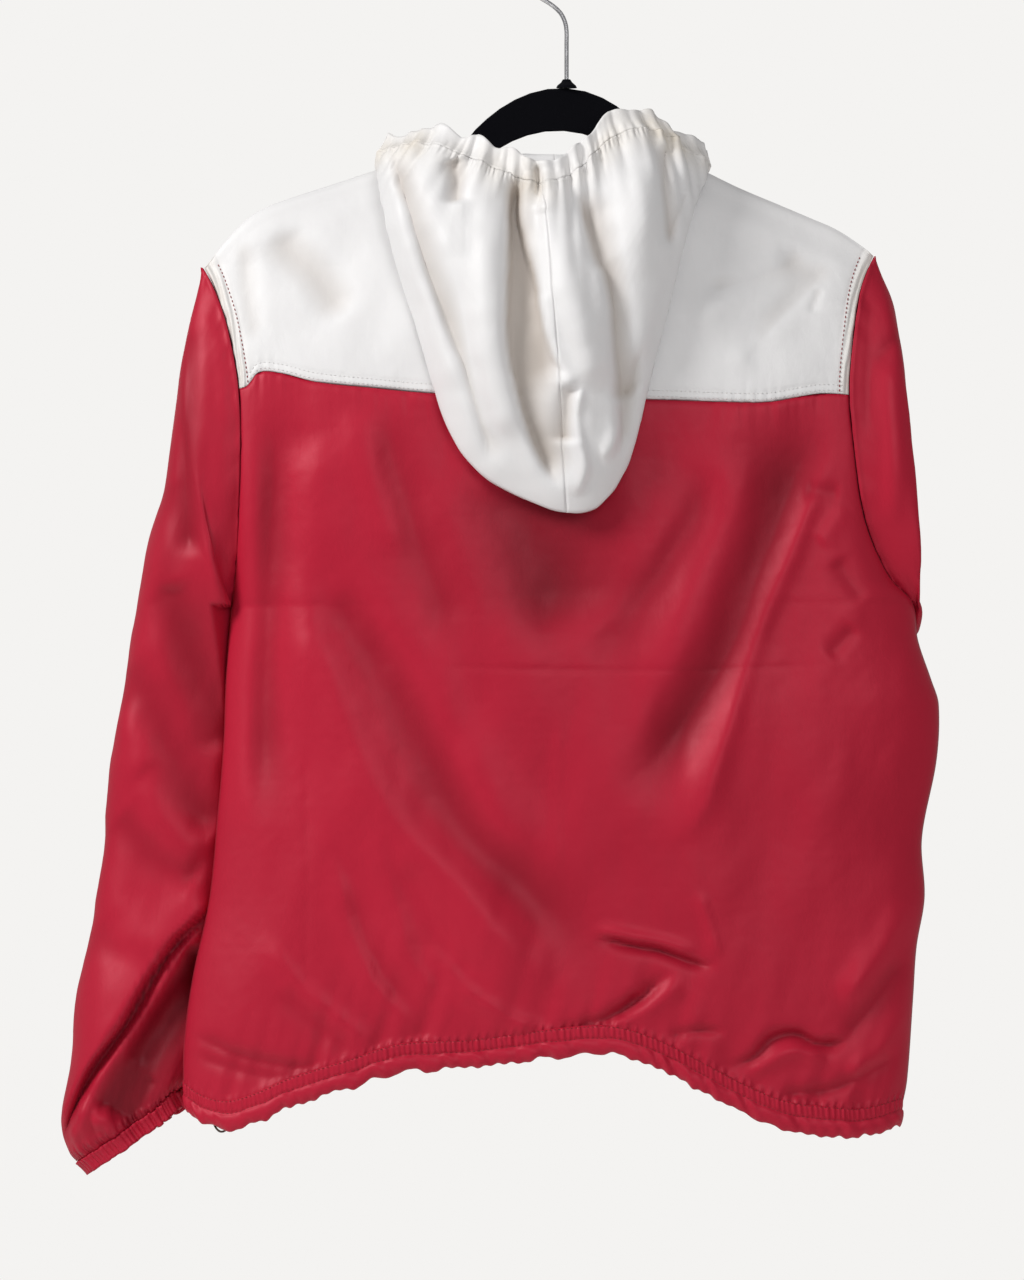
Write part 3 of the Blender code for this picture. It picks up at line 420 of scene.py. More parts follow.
def yoke_lines(face, wide, f):
    """x and z of the yoke's points: wide across, f down from the shoulder line to the seam."""
    x_top = SHOULDER_MIDDLE + SHOULDER_HALF * wide
    foot_right, foot_left = [along(YOKE_SEAM, x) + SEAM / 2 for x in YOKE_SEAM_ENDS]
    x = between_sides(SHOULDER_RIGHT_Z + (foot_right - SHOULDER_RIGHT_Z) * f,
                      SHOULDER_LEFT_Z + (foot_left - SHOULDER_LEFT_Z) * f, wide)
    top = neck_z(face, x_top)[:, None]
    foot = (along(YOKE_SEAM, between(YOKE_SEAM_ENDS, wide)) + SEAM / 2)[:, None]
    return x, top + (foot - top) * f[None, :]


def panel_lines(face, wide, f):
    """x and z of the red panel's points: f runs from the yoke seam down to the hem seam."""
    tops = [along(YOKE_SEAM, x) - SEAM / 2 for x in YOKE_SEAM_ENDS]
    lows = [hem_z(face, x) + HEM_BAND + SEAM / 2 for x in HEM_SIDES]
    x = between_sides(*(top + (low - top) * f for top, low in zip(tops, lows)), wide)
    top = (along(YOKE_SEAM, between(YOKE_SEAM_ENDS, wide)) - SEAM / 2)[:, None]
    low = (hem_z(face, between(HEM_ENDS, wide)) + HEM_BAND + SEAM / 2)[:, None]
    return x, top + (low - top) * f[None, :]


print("the back stands out", round(float(body_y(1, np.array([0.0]), np.array([-600.0]))[0]), 1), "mm")

# %% [markdown]
# ## From a grid of points to a piece of cloth
#
# Every piece is a grid: columns round the body or the arm, and rows down it. The grid becomes one
# mesh of quads, and Solidify then gives it the wall of real cloth, inwards, so the outside stays
# where we put it. The UV map is laid out by real length, in metres, so that one weave fits every
# piece. Three painted attributes go with it: gather marks where elastic or a cord draws the cloth into
# fine ridges, valley marks the bottoms of the folds, where the material paints shade into the colour,
# and stain marks handled, yellowed places.

# %% Make a cloth piece
def run_lengths(grid, axis):
    """Real length along one way of the grid at each of its points, in metres."""
    steps = np.linalg.norm(np.diff(grid, axis=axis), axis=2)
    return np.concatenate([[0.0], np.cumsum(steps.mean(axis=1 - axis))]) * MM


def lengths_around(grid):
    """Real length round a closed grid at each of its columns, in millimetres."""
    return run_lengths(np.concatenate([grid, grid[:1]]), 0)[:-1] / MM


def add_object(name, data):
    """A new object from a mesh or curve, in the scene."""
    if isinstance(data, bpy.types.Mesh):
        data.polygons.foreach_set("use_smooth", [True] * len(data.polygons))
    made = bpy.data.objects.new(name, data)
    bpy.context.collection.objects.link(made)
    return made


def cloth_piece(name, grid, closed, flip, wall, marks):
    """A cloth object from a grid of points in millimetres. marks holds its painted attributes."""
    rows, steps = grid.shape[:2]
    index = np.arange(rows * steps).reshape(rows, steps)
    ahead = np.roll(index, -1, axis=0) if closed else index[1:]
    here = index if closed else index[:-1]
    quads = np.stack([here[:, :-1], ahead[:, :-1], ahead[:, 1:], here[:, 1:]], axis=-1).reshape(-1, 4)
    if flip:
        quads = quads[:, ::-1]
    mesh = bpy.data.meshes.new(name)
    mesh.from_pydata((grid.reshape(-1, 3) * MM).tolist(), [], quads.tolist())
    ring = np.concatenate([grid, grid[:1]]) if closed else grid
    u = run_lengths(ring, 0)
    v = run_lengths(grid, 1)
    columns = np.repeat(np.arange(len(here)), steps - 1)
    lines = np.tile(np.arange(steps - 1), len(here))
    corner_u = np.stack([u[columns], u[columns + 1], u[columns + 1], u[columns]], axis=-1)
    corner_v = np.stack([v[lines], v[lines], v[lines + 1], v[lines + 1]], axis=-1)
    if flip:
        corner_u = corner_u[:, ::-1]
        corner_v = corner_v[:, ::-1]
    uv = mesh.uv_layers.new(name="weave")
    uv.data.foreach_set("uv", np.stack([corner_u, corner_v], axis=-1).reshape(-1))
    for word in ("gather", "valley", "stain"):
        layer = mesh.attributes.new(word, "FLOAT", "POINT")
        values = np.broadcast_to(marks.get(word, 0.0), (rows, steps))
        layer.data.foreach_set("value", np.clip(values, 0, 1).astype(np.float32).reshape(-1))
    made = add_object(name, mesh)
    shell = made.modifiers.new("wall", "SOLIDIFY")
    shell.thickness = wall * MM
    shell.offset = -1
    bpy.ops.object.select_all(action="DESELECT")
    made.select_set(True)
    bpy.context.view_layer.objects.active = made
    bpy.ops.object.modifier_apply(modifier=shell.name)
    made.select_set(False)
    return made


def grid_out(grid, closed):
    """Outward direction at each point of a grid."""
    if closed:
        run = np.roll(grid, -1, axis=0) - np.roll(grid, 1, axis=0)
    else:
        run = np.gradient(grid, axis=0)
    fall = np.gradient(grid, axis=1)
    out = np.cross(run, fall)
    return out / np.maximum(np.linalg.norm(out, axis=2, keepdims=True), 1e-9)


def cloth_area(made):
    """Area of one side of a walled piece, in square metres."""
    return sum(p.area for p in made.data.polygons) / 2


cloths = {}
print("a cloth piece is a grid, a wall and three attributes")

# %% [markdown]
# ## The red back and front
#
# Each red panel goes from the yoke seam to the hem casing. Along both seams the stitching draws the
# cloth into a shallow groove with small puckers that fade out within a couple of centimetres.

# %% Red panels
def seam_puckers(u, away, seed, pitch, height, reach):
    """Small puckers square to a seam: u runs along the seam, away is the distance from it."""
    beat = wrinkles(u, 0 * u, seed, pitch, 10)
    vary = 0.55 + 0.45 * wrinkles(u, 0 * u, seed + 1, 9 * pitch, 6)
    return height * beat * vary.clip(0.05, 1.3) * np.exp(-(away / reach) ** 1.4)


def red_panel(name, face, columns, steps, folds, seed):
    """One red panel: its outline, its folds, soft wrinkles and the puckers of both seams."""
    wide = spread(columns)
    f = np.linspace(0, 1, steps + 1)
    x, z = panel_lines(face, wide, f)
    main = folds_at(folds, x, z)
    below_yoke = z[:, :1] - z
    above_hem = z - z[:, -1:]
    soft = (1.5 * wrinkles(x, z * 0.45, seed, 95, 22, lean=0.3)
            + 0.35 * wrinkles(x, z * 0.6, seed + 2, 34, 20, lean=0.3))
    fine = 0.12 * crumple(x, z * 0.7, seed + 3, 30) + 0.05 * wrinkles(x, z, seed + 5, 9, 30)
    hold = np.exp(-(above_hem / 46) ** 1.2)
    gathers = 1.5 * hold * wrinkles(x + 0.25 * above_hem, 0.12 * z, seed + 9, 19, 16)
    puckers = (seam_puckers(x, below_yoke, seed + 11, 8, 0.75, 13)
               + seam_puckers(x + 0.3 * above_hem, above_hem, seed + 13, 5.5, 1.0, 14))
    groove = -1.3 * np.exp(-(below_yoke / 2.2) ** 2) - 1.0 * np.exp(-(above_hem / 2.6) ** 2)
    height = (main + soft + fine + gathers + puckers) * smooth_step(-2, 11, above_hem) + groove
    y = body_y(face, x, z, height)
    grid = np.stack([x, y, z], axis=-1)
    drawn = 0.72 + 0.4 * wrinkles(x, 0 * z, seed + 15, 160, 8)
    # The valley mark is painted shade: strongest at the bottoms of the folds, faint over the rest.
    marks = {"gather": np.exp(-(above_hem / 7.5) ** 4) * drawn, "valley": (1.0 - main) / 13.0}
    cloths[name] = cloth_piece(name, grid, False, face < 0, WALL, marks)
    print(name, grid.shape[0] * grid.shape[1], "points, folds from", round(float(main.min()), 1), "to",
          round(float(main.max()), 1), "mm")


red_panel("red_back", 1, 188, 232, BACK_FOLDS, 21)
red_panel("red_front", -1, 140, 140, FRONT_FOLDS, 43)

# %% [markdown]
# ## The white yokes
#
# The yoke lies over the shoulders on the hanger, so its folds are soft and shallow, and they run from
# the shoulders down and in. Beside each armhole the seam draws a strip of it into fine gathers.

# %% White yokes
def white_yoke(name, face, columns, steps, folds, seed):
    """One white yoke: its outline, its folds, soft wrinkles, puckers and stitching grooves."""
    wide = spread(columns)
    f = np.linspace(0, 1, steps + 1) ** 1.25
    x, z = yoke_lines(face, wide, f)
    main = folds_at(folds, x, z)
    above_seam = z - z[:, -1:]
    from_armhole = np.minimum(x - x[:1], x[-1:] - x)
    soft = 0.9 * wrinkles(x, z * 0.7, seed, 62, 20, lean=0.3)
    fine = 0.14 * crumple(x, z, seed + 3, 28) + 0.05 * wrinkles(x, z, seed + 5, 8, 26)
    puckers = (seam_puckers(x, np.abs(above_seam - 4), seed + 7, 7, 0.6, 7)
               + seam_puckers(z, from_armhole, seed + 9, 4.5, 0.75, 8))
    groove = (-1.2 * np.exp(-(above_seam / 2.0) ** 2) - 0.7 * np.exp(-((above_seam - 6.5) / 1.6) ** 2)
              - 0.8 * np.exp(-((from_armhole - 7) / 1.8) ** 2))
    below_top = z[:, :1] - z
    height = ((main + soft + fine) * smooth_step(0, 30, below_top)
              + (puckers + groove) * smooth_step(0, 12, below_top))
    y = body_y(face, x, z, height)
    grid = np.stack([x, y, z], axis=-1)
    # The valley mark is painted shade at the bottoms of the folds.
    marks = {"gather": 0.8 * np.exp(-(from_armhole / 7) ** 4), "valley": (-main - 0.8) / 7.0,
             "stain": 0.5 * np.exp(-(from_armhole / 6) ** 2)}
    cloths[name] = cloth_piece(name, grid, False, face < 0, WALL, marks)
    print(name, grid.shape[0] * grid.shape[1], "points")


YOKE_COLUMNS = 170
YOKE_ROWS = 96
white_yoke("white_back_yoke", 1, YOKE_COLUMNS, YOKE_ROWS, YOKE_FOLDS, 61)
white_yoke("white_front_yoke", -1, 120, 60, FRONT_YOKE_FOLDS, 73)

# %% [markdown]
# ## The hem casing
#
# The hem is a folded casing with a cord in it, under a narrow shirred band. The cord shortens both:
# the band stands in close even ridges between its two rows of stitches, high in some stretches and
# almost gone in others, and the casing puckers on the slant, which scallops its lower edge. One ring
# of very narrow columns carries them all.

# %% Hem casing
CASING_START = 0.42   # the casing begins this far down the ring, under the shirred band
CASING_ROUND = 2.6    # the cord inside rounds the casing out by this much
SHIR_PITCH = 4.2      # from one ridge of the band to the next


def body_ring(rounds, f_steps, seed):
    """The hem as one ring: f runs from the shirred band's top to the casing's lower edge."""
    turn = np.linspace(0, 4, rounds, endpoint=False)
    rows = []
    for face, here in ((1, turn[turn < 2] - 1), (-1, 3 - turn[turn >= 2])):
        wide = np.sin(here * math.pi / 2)
        x, z = panel_lines(face, wide, np.array([1.0]))
        x, z = x[:, 0], z[:, 0]
        y = body_y(face, x, z)
        y[np.abs(here) > 0.9999] = 0.0
        rows.append(np.stack([x, y, z], axis=-1))
    top = np.concatenate(rows)
    f = np.linspace(0, 1, f_steps + 1)
    grid = np.repeat(top[:, None, :], f_steps + 1, axis=1)
    pull = 1.5 * f * f
    grid[:, :, 0] -= pull[None, :] * np.sin(np.where(turn < 2, turn - 1, 3 - turn) * math.pi / 2)[:, None]
    grid[:, :, 1] -= pull[None, :] * np.clip(grid[:, :, 1] / 20, -1, 1)
    grid[:, :, 2] += SHIR_RISE - (HEM_BAND + SHIR_RISE) * f[None, :]
    length = lengths_around(grid)
    s = length[:, None] + 0 * f[None, :]
    down = (HEM_BAND + SHIR_RISE) * f[None, :] + 0 * s
    shirred = smooth_step(0.0, 0.07, f) * smooth_step(0.46, 0.38, f)
    casing = smooth_step(CASING_START, 0.5, f)
    strength = (0.8 + 0.5 * wrinkles(s, 0 * s, seed, 150, 9)).clip(0.25, 1.3)
    even = s + 0.12 * down + 0.9 * wrinkles(s, 0 * s, seed + 1, 40, 8)
    ridges = 0.62 * np.sin(2 * math.pi * even / SHIR_PITCH) + 0.25 * wrinkles(even, 0 * down, seed + 2, 7, 18)
    slant = s + 0.75 * down
    puffs = (0.95 * wrinkles(slant, 0.15 * down, seed + 3, 13, 16)
             + 0.7 * wrinkles(slant, 0.3 * down, seed + 4, 30, 14))
    in_casing = np.clip((f - CASING_START) / (1 - CASING_START), 0, 1)
    round_casing = CASING_ROUND * np.sin(math.pi * in_casing) ** 0.7
    height = (shirred[None, :] * (0.7 + strength * ridges)
              + casing[None, :] * puffs * (0.5 + 0.5 * strength)
              + round_casing[None, :] - 0.9 * np.exp(-((f - 0.43) / 0.035) ** 2)[None, :]
              - 0.7 * np.exp(-(f / 0.03) ** 2)[None, :])
    out = grid_out(grid, True)
    out[:, :, 2] *= 0.4
    sides = np.minimum(np.abs(grid[:, :, 1]) / 14, 1.0)
    grid = grid + out * (height * (0.45 + 0.55 * sides))[:, :, None]
    edge_wave = 1.3 * wrinkles(s, 0 * s, seed + 5, 15, 12)
    grid[:, :, 2] += edge_wave * f[None, :] ** 2
    return grid, strength * shirred[None, :]


HEM_COLUMNS = 1600
hem_grid, hem_strength = body_ring(HEM_COLUMNS, 18, 91)
cloths["red_hem"] = cloth_piece("red_hem", hem_grid, True, False, BAND_WALL, {"gather": 0.3 * hem_strength})
print("hem ring", hem_grid.shape)

# %% [markdown]
# ## Sleeves and cuffs
#
# A sleeve hangs from its armhole as a flattened tube. Its cross-sections are listed from the shoulder
# to the wrist, and a smooth surface runs through them. The left sleeve is folded over itself towards
# the cuff, which leaves one long bright ridge with a dark face beside it. Both sleeves lie a little
# in front of the body, and they are kept clear of it.

# %% Sleeve tables
LEFT_SLEEVE = (
    (283, -285, 254, -486, -2, 31), (292, -342, 248, -491, -5, 34), (299, -395, 243, -497, -10, 36),
    (313, -442, 239, -508, -16, 36), (322, -490, 236, -528, -24, 35), (331, -546, 238, -566, -31, 34),
    (342, -604, 236, -622, -36, 33), (348, -669, 243, -685, -40, 33), (354, -720, 252, -738, -42, 34),
    (364, -768, 262, -778, -43, 35), (371, -818, 273, -810, -43, 36), (377, -864, 282, -832, -42, 33),
    (372, -888, 286, -839, -41, 27), (366, -896, 287, -841.5, -41, 22))
RIGHT_SLEEVE = (
    (-244, -262, -262, -484, -8, 29), (-252, -310, -263, -494, -18, 33), (-254, -362, -254, -508, -32, 34),
    (-257, -418, -230, -530, -48, 34), (-261, -470, -200, -560, -62, 33), (-260, -524, -176, -592, -74, 32),
    (-254, -582, -160, -636, -82, 31), (-248, -650, -150, -690, -88, 31), (-243, -715, -147, -742, -92, 32),
    (-240, -768, -147, -780, -95, 32), (-239, -806, -149, -810, -96, 29), (-236, -822, -152, -824, -97, 24),
    (-234, -828, -154, -829, -97, 22))
LEFT_SLEEVE_FOLDS = (
    ("cap_ridge", ((275, -268), (269, -269), (262, -275), (258, -286), (255, -308), (253, -343)),
     5, 3.5, 0.4, 0),
    ("cap_valley", ((280, -268), (281, -328), (283, -388), (279, -447)), 9, -6, 0.2, 0),
    ("underarm_valley", ((300, -462), (284, -504), (266, -546), (252, -590)), 17, -6.5, 0, 0),
    ("elbow_1", ((332, -520), (307, -566), (286, -610), (262, -650)), 15, -4.5, 0, 0),
    ("elbow_roll", ((345, -556), (322, -598), (300, -638), (268, -668)), 17, 4.5, 0, 0),
    ("elbow_2", ((318, -600), (300, -622), (280, -640), (262, -652)), 13, -3, 0, 0),
    ("elbow_3", ((336, -636), (306, -670), (276, -690)), 14, -3.5, 0, 0),
    ("forearm", ((356, -724), (330, -744), (306, -748)), 14, -3, 0, 0),
    ("folded_ridge", ((258, -694), (266, -703), (300, -736), (332, -788), (359, -826),
     (377, -866), (378, -888)), 16, 11, 0.7, 0.8),
    ("fold_line", ((266, -708), (298, -742), (329, -793), (356, -832), (374, -872), (374, -890)),
     3.6, -11, 0.6, 0),
    ("fold_lip", ((272, -716), (293, -747), (323, -797), (350, -837), (368, -876), (370, -893)),
     5.5, 8, 0.3, -0.2),
    ("face_under_it", ((262, -735), (280, -762), (305, -800), (328, -838), (346, -868)), 20, -15,
     0.1, 0),
    ("soft_roll", ((319, -817), (337, -846), (352, -872)), 7, 3.5, 0.2, 0),
    ("wrist", ((309, -832), (320, -854), (331, -876)), 6, -3, 0.3, 0),
    ("upper_outside", ((301, -388), (292, -432), (301, -476)), 12, -3, 0.1, 0))
RIGHT_SLEEVE_FOLDS = (
    ("cap_valley", ((-222, -255), (-224, -300), (-223, -351)), 5, -5, 0.4, 0),
    ("shoulder_crease", ((-249, -278), (-238, -288), (-228, -299)), 5, -3, 0.5, 0),
    ("upper_roll", ((-240, -300), (-243, -360), (-240, -420)), 8, 3, 0.1, 0),
    ("elbow_valley", ((-256, -470), (-236, -500), (-215, -540)), 9, -5, 0.3, 0))
print(len(LEFT_SLEEVE), "rings on the left sleeve and", len(RIGHT_SLEEVE), "on the right")

# %% [markdown]
# ## The sleeve's surface
#
# The first ring of a sleeve is the armhole of the body, and the rest come from the table. Folds are
# laid on the side that faces us only. The cuff carries on from the last ring, so the two meet.

# %% Sleeve surface
CUFF_PITCH = 4.0      # from one ridge of the cuff to the next


def armhole_ring(side, turn):
    """The sleeve's first ring, on the body's armhole."""
    top = SHOULDER_LEFT_Z if side > 0 else SHOULDER_RIGHT_Z
    foot = UNDERARM_LEFT if side > 0 else UNDERARM_RIGHT
    z = top + (foot - top) * (1 - np.cos(turn * 2 * math.pi)) / 2
    x = edge_x(side, z)
    y = np.where(turn <= 0.5, 1, -1) * armhole_depth(x, z)
    return np.stack([x, y, z], axis=-1)


def sleeve_ring(row, turn):
    """A flattened ring between an outer and an inner point, from one row of a sleeve table."""
    outer_x, outer_z, inner_x, inner_z, middle, deep = row
    swing = np.cos(turn * 2 * math.pi)
    lift = np.sin(turn * 2 * math.pi)
    wide = np.copysign(np.abs(swing) ** 0.9, swing)
    thick = np.copysign(np.abs(lift) ** 0.85, lift)
    return np.stack([(outer_x + inner_x) / 2 + (outer_x - inner_x) / 2 * wide, middle + deep * thick,
                     (outer_z + inner_z) / 2 + (outer_z - inner_z) / 2 * wide], axis=-1)


def clear_of_front(grid, side, keep):
    """Below the armhole, move points to the front until they clear the body by keep."""
    x, y, z = grid[..., 0], grid[..., 1], grid[..., 2]
    foot = UNDERARM_LEFT if side > 0 else UNDERARM_RIGHT
    beyond = (x - edge_x(side, z)) * side
    front = body_y(-1, x, z, folds_at(FRONT_FOLDS, x, z))
    limit = np.where(beyond > 0, -keep + 1.6 * beyond, front - keep)
    grid[..., 1] = np.where(z > foot, y, np.minimum(y, limit))
    return grid


def sleeve_grid(side, rounds, steps, folds, seed):
    """A sleeve from armhole to wrist, with its folds, wrinkles and the gathers over its cuff."""
    rows = LEFT_SLEEVE if side > 0 else RIGHT_SLEEVE
    turn = np.linspace(0, 1, rounds, endpoint=False)
    knots = np.stack([armhole_ring(side, turn)] + [sleeve_ring(row, turn) for row in rows])
    v = np.linspace(0, 1, steps + 1)
    grid = np.transpose(round_rows(knots, v * len(rows)), (1, 0, 2)).copy()
    facing = np.maximum(np.sin(turn * 2 * math.pi), 0.0)[:, None] ** 0.5
    start = smooth_step(0, 0.06, v)[None, :]
    main = folds_at(folds, grid[..., 0], grid[..., 2], 0.1) * facing * start
    grid[..., 1] += main
    around = lengths_around(grid)
    down = run_lengths(grid, 1) / MM
    angle = turn * 2 * math.pi
    s = 60 * np.cos(angle)[:, None] + 30 * np.sin(angle)[:, None] + 0 * down[None, :]
    t = down[None, :] + 0 * around[:, None]
    soft = 1.5 * wrinkles(s * 1.2, t, seed, 78, 20) + 0.3 * wrinkles(s * 1.4, t, seed + 3, 34)
    fine = 0.05 * wrinkles(s * 2, t, seed + 5, 9, 26)
    whole = down[-1]
    pleats = (np.sin(2 * math.pi * around / 14)[:, None] * 0.4
              + wrinkles(s * 2.2, t * 0.15, seed + 7, 13, 12))
    gathers = 1.4 * np.exp(-((whole - t) / 30) ** 1.3) * pleats
    cap = 0.9 * np.exp(-(t / 12) ** 1.3) * wrinkles(s * 2.4, t * 0.2, seed + 9, 9, 12)
    out = side * grid_out(grid, True)
    height = (soft + fine) * start + gathers * 0.8 + cap - 1.0 * np.exp(-(t / 2.2) ** 2)
    grid = grid + out * height[:, :, None]
    grid[:, 0, 0] += side * SEAM
    grid[:, 1:] = clear_of_front(grid[:, 1:], side, LAY_CLEAR + WALL)
    # The valley mark is painted shade, strongest at the bottoms of the folds.
    marks = {"gather": 0.9 * np.exp(-((whole - t) / 7) ** 4), "valley": (1.0 - main) / 12.0}
    return grid, marks


def cuff_grid(side, sleeve, steps, seed):
    """The cuff: a short ridged tube on from the sleeve's last ring."""
    outer_x, outer_z, inner_x, inner_z = (LEFT_SLEEVE if side > 0 else RIGHT_SLEEVE)[-1][:4]
    down = np.array([inner_z - outer_z, 0, outer_x - inner_x], float)
    down /= np.linalg.norm(down)
    down = -down if down[2] > 0 else down
    places = np.linspace(0, len(sleeve), 5 * len(sleeve), endpoint=False)
    end = round_rows(np.concatenate([sleeve[:, -1], sleeve[:1, -1]]), places)
    middle = np.array([(outer_x + inner_x) / 2, 0, (outer_z + inner_z) / 2]) * np.ones_like(end)
    middle[:, 1] = end[:, 1].mean()
    v = np.linspace(0, 1, steps + 1)[None, :, None]
    grid = (middle[:, None] + (end - middle)[:, None] * (1 - 0.05 * v)
            + down * (SEAM + (CUFF_BAND - SEAM) * v))
    length = lengths_around(grid)
    s = length[:, None] + 0 * v[..., 0]
    band = np.sin(math.pi * v[..., 0]) ** 0.7
    ridges = (np.sin(2 * math.pi * s / CUFF_PITCH + wrinkles(s, 0 * s, seed, 30, 8))
              + 0.5 * wrinkles(s, s * 0, seed, 7))
    out = side * grid_out(grid, True)
    return grid + out * (1.2 * band + ridges * (0.5 + 0.5 * band))[:, :, None]


for side, word, folds, rounds, steps in ((1, "left", LEFT_SLEEVE_FOLDS, 120, 190),
                                         (-1, "right", RIGHT_SLEEVE_FOLDS, 110, 160)):
    grid, marks = sleeve_grid(side, rounds, steps, folds, 101 + side)
    cloths["red_sleeve_" + word] = cloth_piece("red_sleeve_" + word, grid, True, side < 0, WALL, marks)
    cuff = cuff_grid(side, grid, 7, 131 + side)
    cloths["red_cuff_" + word] = cloth_piece("red_cuff_" + word, cuff, True, side < 0, BAND_WALL,
                                             {"gather": 0.3})
    print(word, "sleeve and cuff:", grid.shape[:2], cuff.shape[:2])

# %% [markdown]
# ## The hood
#
# The hood hangs down the back as a flattened bag: from the neck seam its cloth goes down inside, turns
# at its lowest fold, and comes up outside to the face opening, where a cord gathers it. Thirteen ribs
# describe it, and the surface runs smoothly through them. The folds of its outer side are deep: one
# wedge down the middle where its centre seam has sunk in, and a groove and a roll on either side.

# %% Hood tables
HOOD_RIBS = (
    (0.00, 3.4, (3.4, -48, -212), (3.4, -51, -200), (3.4, -53, -190), (3.4, -54, -180), (3.4, -54, -172)),
    (0.10, 72, (80, -36, -180), (88, -40, -166), (94, -41, -158), (97, -40, -150), (96, -37, -141)),
    (0.20, 97.7, (107, 0, -133), (123, 2, -137), (137, 5, -153), (139, 9, -144), (132, 6, -132)),
    (0.29, 80, (86, 24, -141), (108, 24, -164), (135, 30, -190), (122, 48, -160), (103, 30, -125)),
    (0.37, 54, (58, 31, -148), (90, 32, -222), (113, 42, -268), (99, 68, -200), (71, 46, -132)),
    (0.44, 31, (33, 34, -151), (60, 42, -275), (76, 54, -370), (64, 79, -258), (44, 53, -143)),
    (0.50, 9, (9, 35, -152), (5, 46, -300), (0, 60, -412), (8, 85, -280), (18, 57, -153)),
    (0.56, -12, (-12, 34, -151), (-20, 42, -275), (-41, 54, -384), (-22, 80, -262), (-6, 53, -142)),
    (0.63, -36, (-37, 31, -148), (-50, 32, -220), (-68, 42, -286), (-52, 68, -205), (-30, 46, -118)),
    (0.71, -62, (-66, 24, -142), (-76, 24, -172), (-89, 32, -204), (-80, 50, -165), (-60, 30, -116)),
    (0.80, -92.5, (-94, 0, -142), (-98, 2, -141), (-104, 5, -155), (-106, 10, -148), (-103, 8, -139)),
    (0.90, -62, (-66, -36, -182), (-68, -40, -166), (-74, -41, -158), (-77, -40, -150), (-76, -37, -141)),
    (1.00, 2.6, (2.6, -48, -212), (2.6, -51, -200), (2.6, -53, -190), (2.6, -54, -180), (2.6, -54, -172)))
HOOD_FOLDS = (
    ("groove_a", ((132, -135), (124, -163), (115, -192), (103, -232), (87, -273), (74, -308),
     (64, -342), (58, -362), (59, -383)), 9, -8.5, 0.4, -0.4),
    ("roll_a", ((127, -173), (115, -221), (97, -277), (81, -325)), 9, 3, 0, 0),
    ("pit", ((85, -149), (82, -166), (81, -185)), 8, -8, 0.4, 0),
    ("roll_1", ((58, -151), (56, -192), (60, -254), (56, -328), (44, -366)), 15, 7, 0, 0),
    ("wedge_left_edge", ((39, -150), (41, -171), (42, -218), (43, -266), (41, -301), (33, -337),
     (18, -372), (3, -398)), 13, -12, 0.35, -0.72),
    ("wedge_right_edge", ((38, -160), (37, -183), (32, -218), (22, -256), (16, -285), (9, -303),
     (-3, -315)), 12, -10, 0.3, 0.72),
    ("roll_2", ((14, -157), (9, -199), (-2, -247), (-16, -295), (-24, -325)), 14, 8, 0, 0),
    ("roll_2_edge", ((20, -247), (13, -286), (7, -306), (-7, -323)), 7, 4, 0.3, 0),
    ("hollow", ((-2, -317), (0, -340), (1, -362)), 8, -7, 0.2, 0),
    ("bright_ridge", ((-11, -317), (-7, -342), (-10, -362), (-13, -380), (-6, -402)), 5, 5.5, 0.5,
     0.3),
    ("pinch_loop", ((-39, -325), (-37, -349), (-30, -366), (-23, -370)), 6, 4.5, 0.4, 0),
    ("groove_d", ((-4, -168), (-16, -197), (-24, -226), (-30, -240), (-36, -291), (-39, -321),
     (-40, -376)), 11, -10, 0.45, -0.55),
    ("roll_3", ((-50, -151), (-55, -195), (-60, -254), (-57, -306)), 14, 5, 0, 0),
    ("groove_e", ((-72, -136), (-72, -166), (-74, -188), (-76, -218)), 7, -7, 0.4, 0),
    ("fine_line", ((-90, -174), (-82, -192), (-75, -209)), 4, -2, 0.5, 0),
    ("fork_1", ((-58, -311), (-50, -318), (-41, -325)), 4, -2.5, 0.5, 0),
    ("fork_2", ((-54, -292), (-50, -308), (-47, -328)), 4, -2, 0.4, 0),
    ("middle_pinch", ((24, -155), (21, -172), (18, -186)), 5, -5, 0.4, 0),
    ("middle_pinch_lip", ((19, -178), (19, -191)), 4, 4, 0.4, 0))
print(len(HOOD_RIBS), "ribs and", len(HOOD_FOLDS), "folds on the hood")

# %% [markdown]
# ## The hood's surface
#
# The hood is made as one grid of many ribs, and only then divided into its two halves and its casing.
# The pieces share the points of their seams, so no gap can open between them, however deep a fold is.

# %% Hood surface
RIB_POINTS = 61
BEHIND = (0.2, 0.8)   # the shares of the way round that lie behind the neck


def neck_out_x(x):
    """Which way is out from the neck, sideways: 0 over its middle and 1 at its ends."""
    share = np.minimum(np.abs(x - NECK_MIDDLE) / NECK_HALF, 1.0)
    turn = smooth_step(0.55, 1.0, share)
    return np.copysign(turn, x - NECK_MIDDLE) / np.sqrt(turn ** 2 + (1 - turn) ** 2 + 0.09 * turn ** 2)


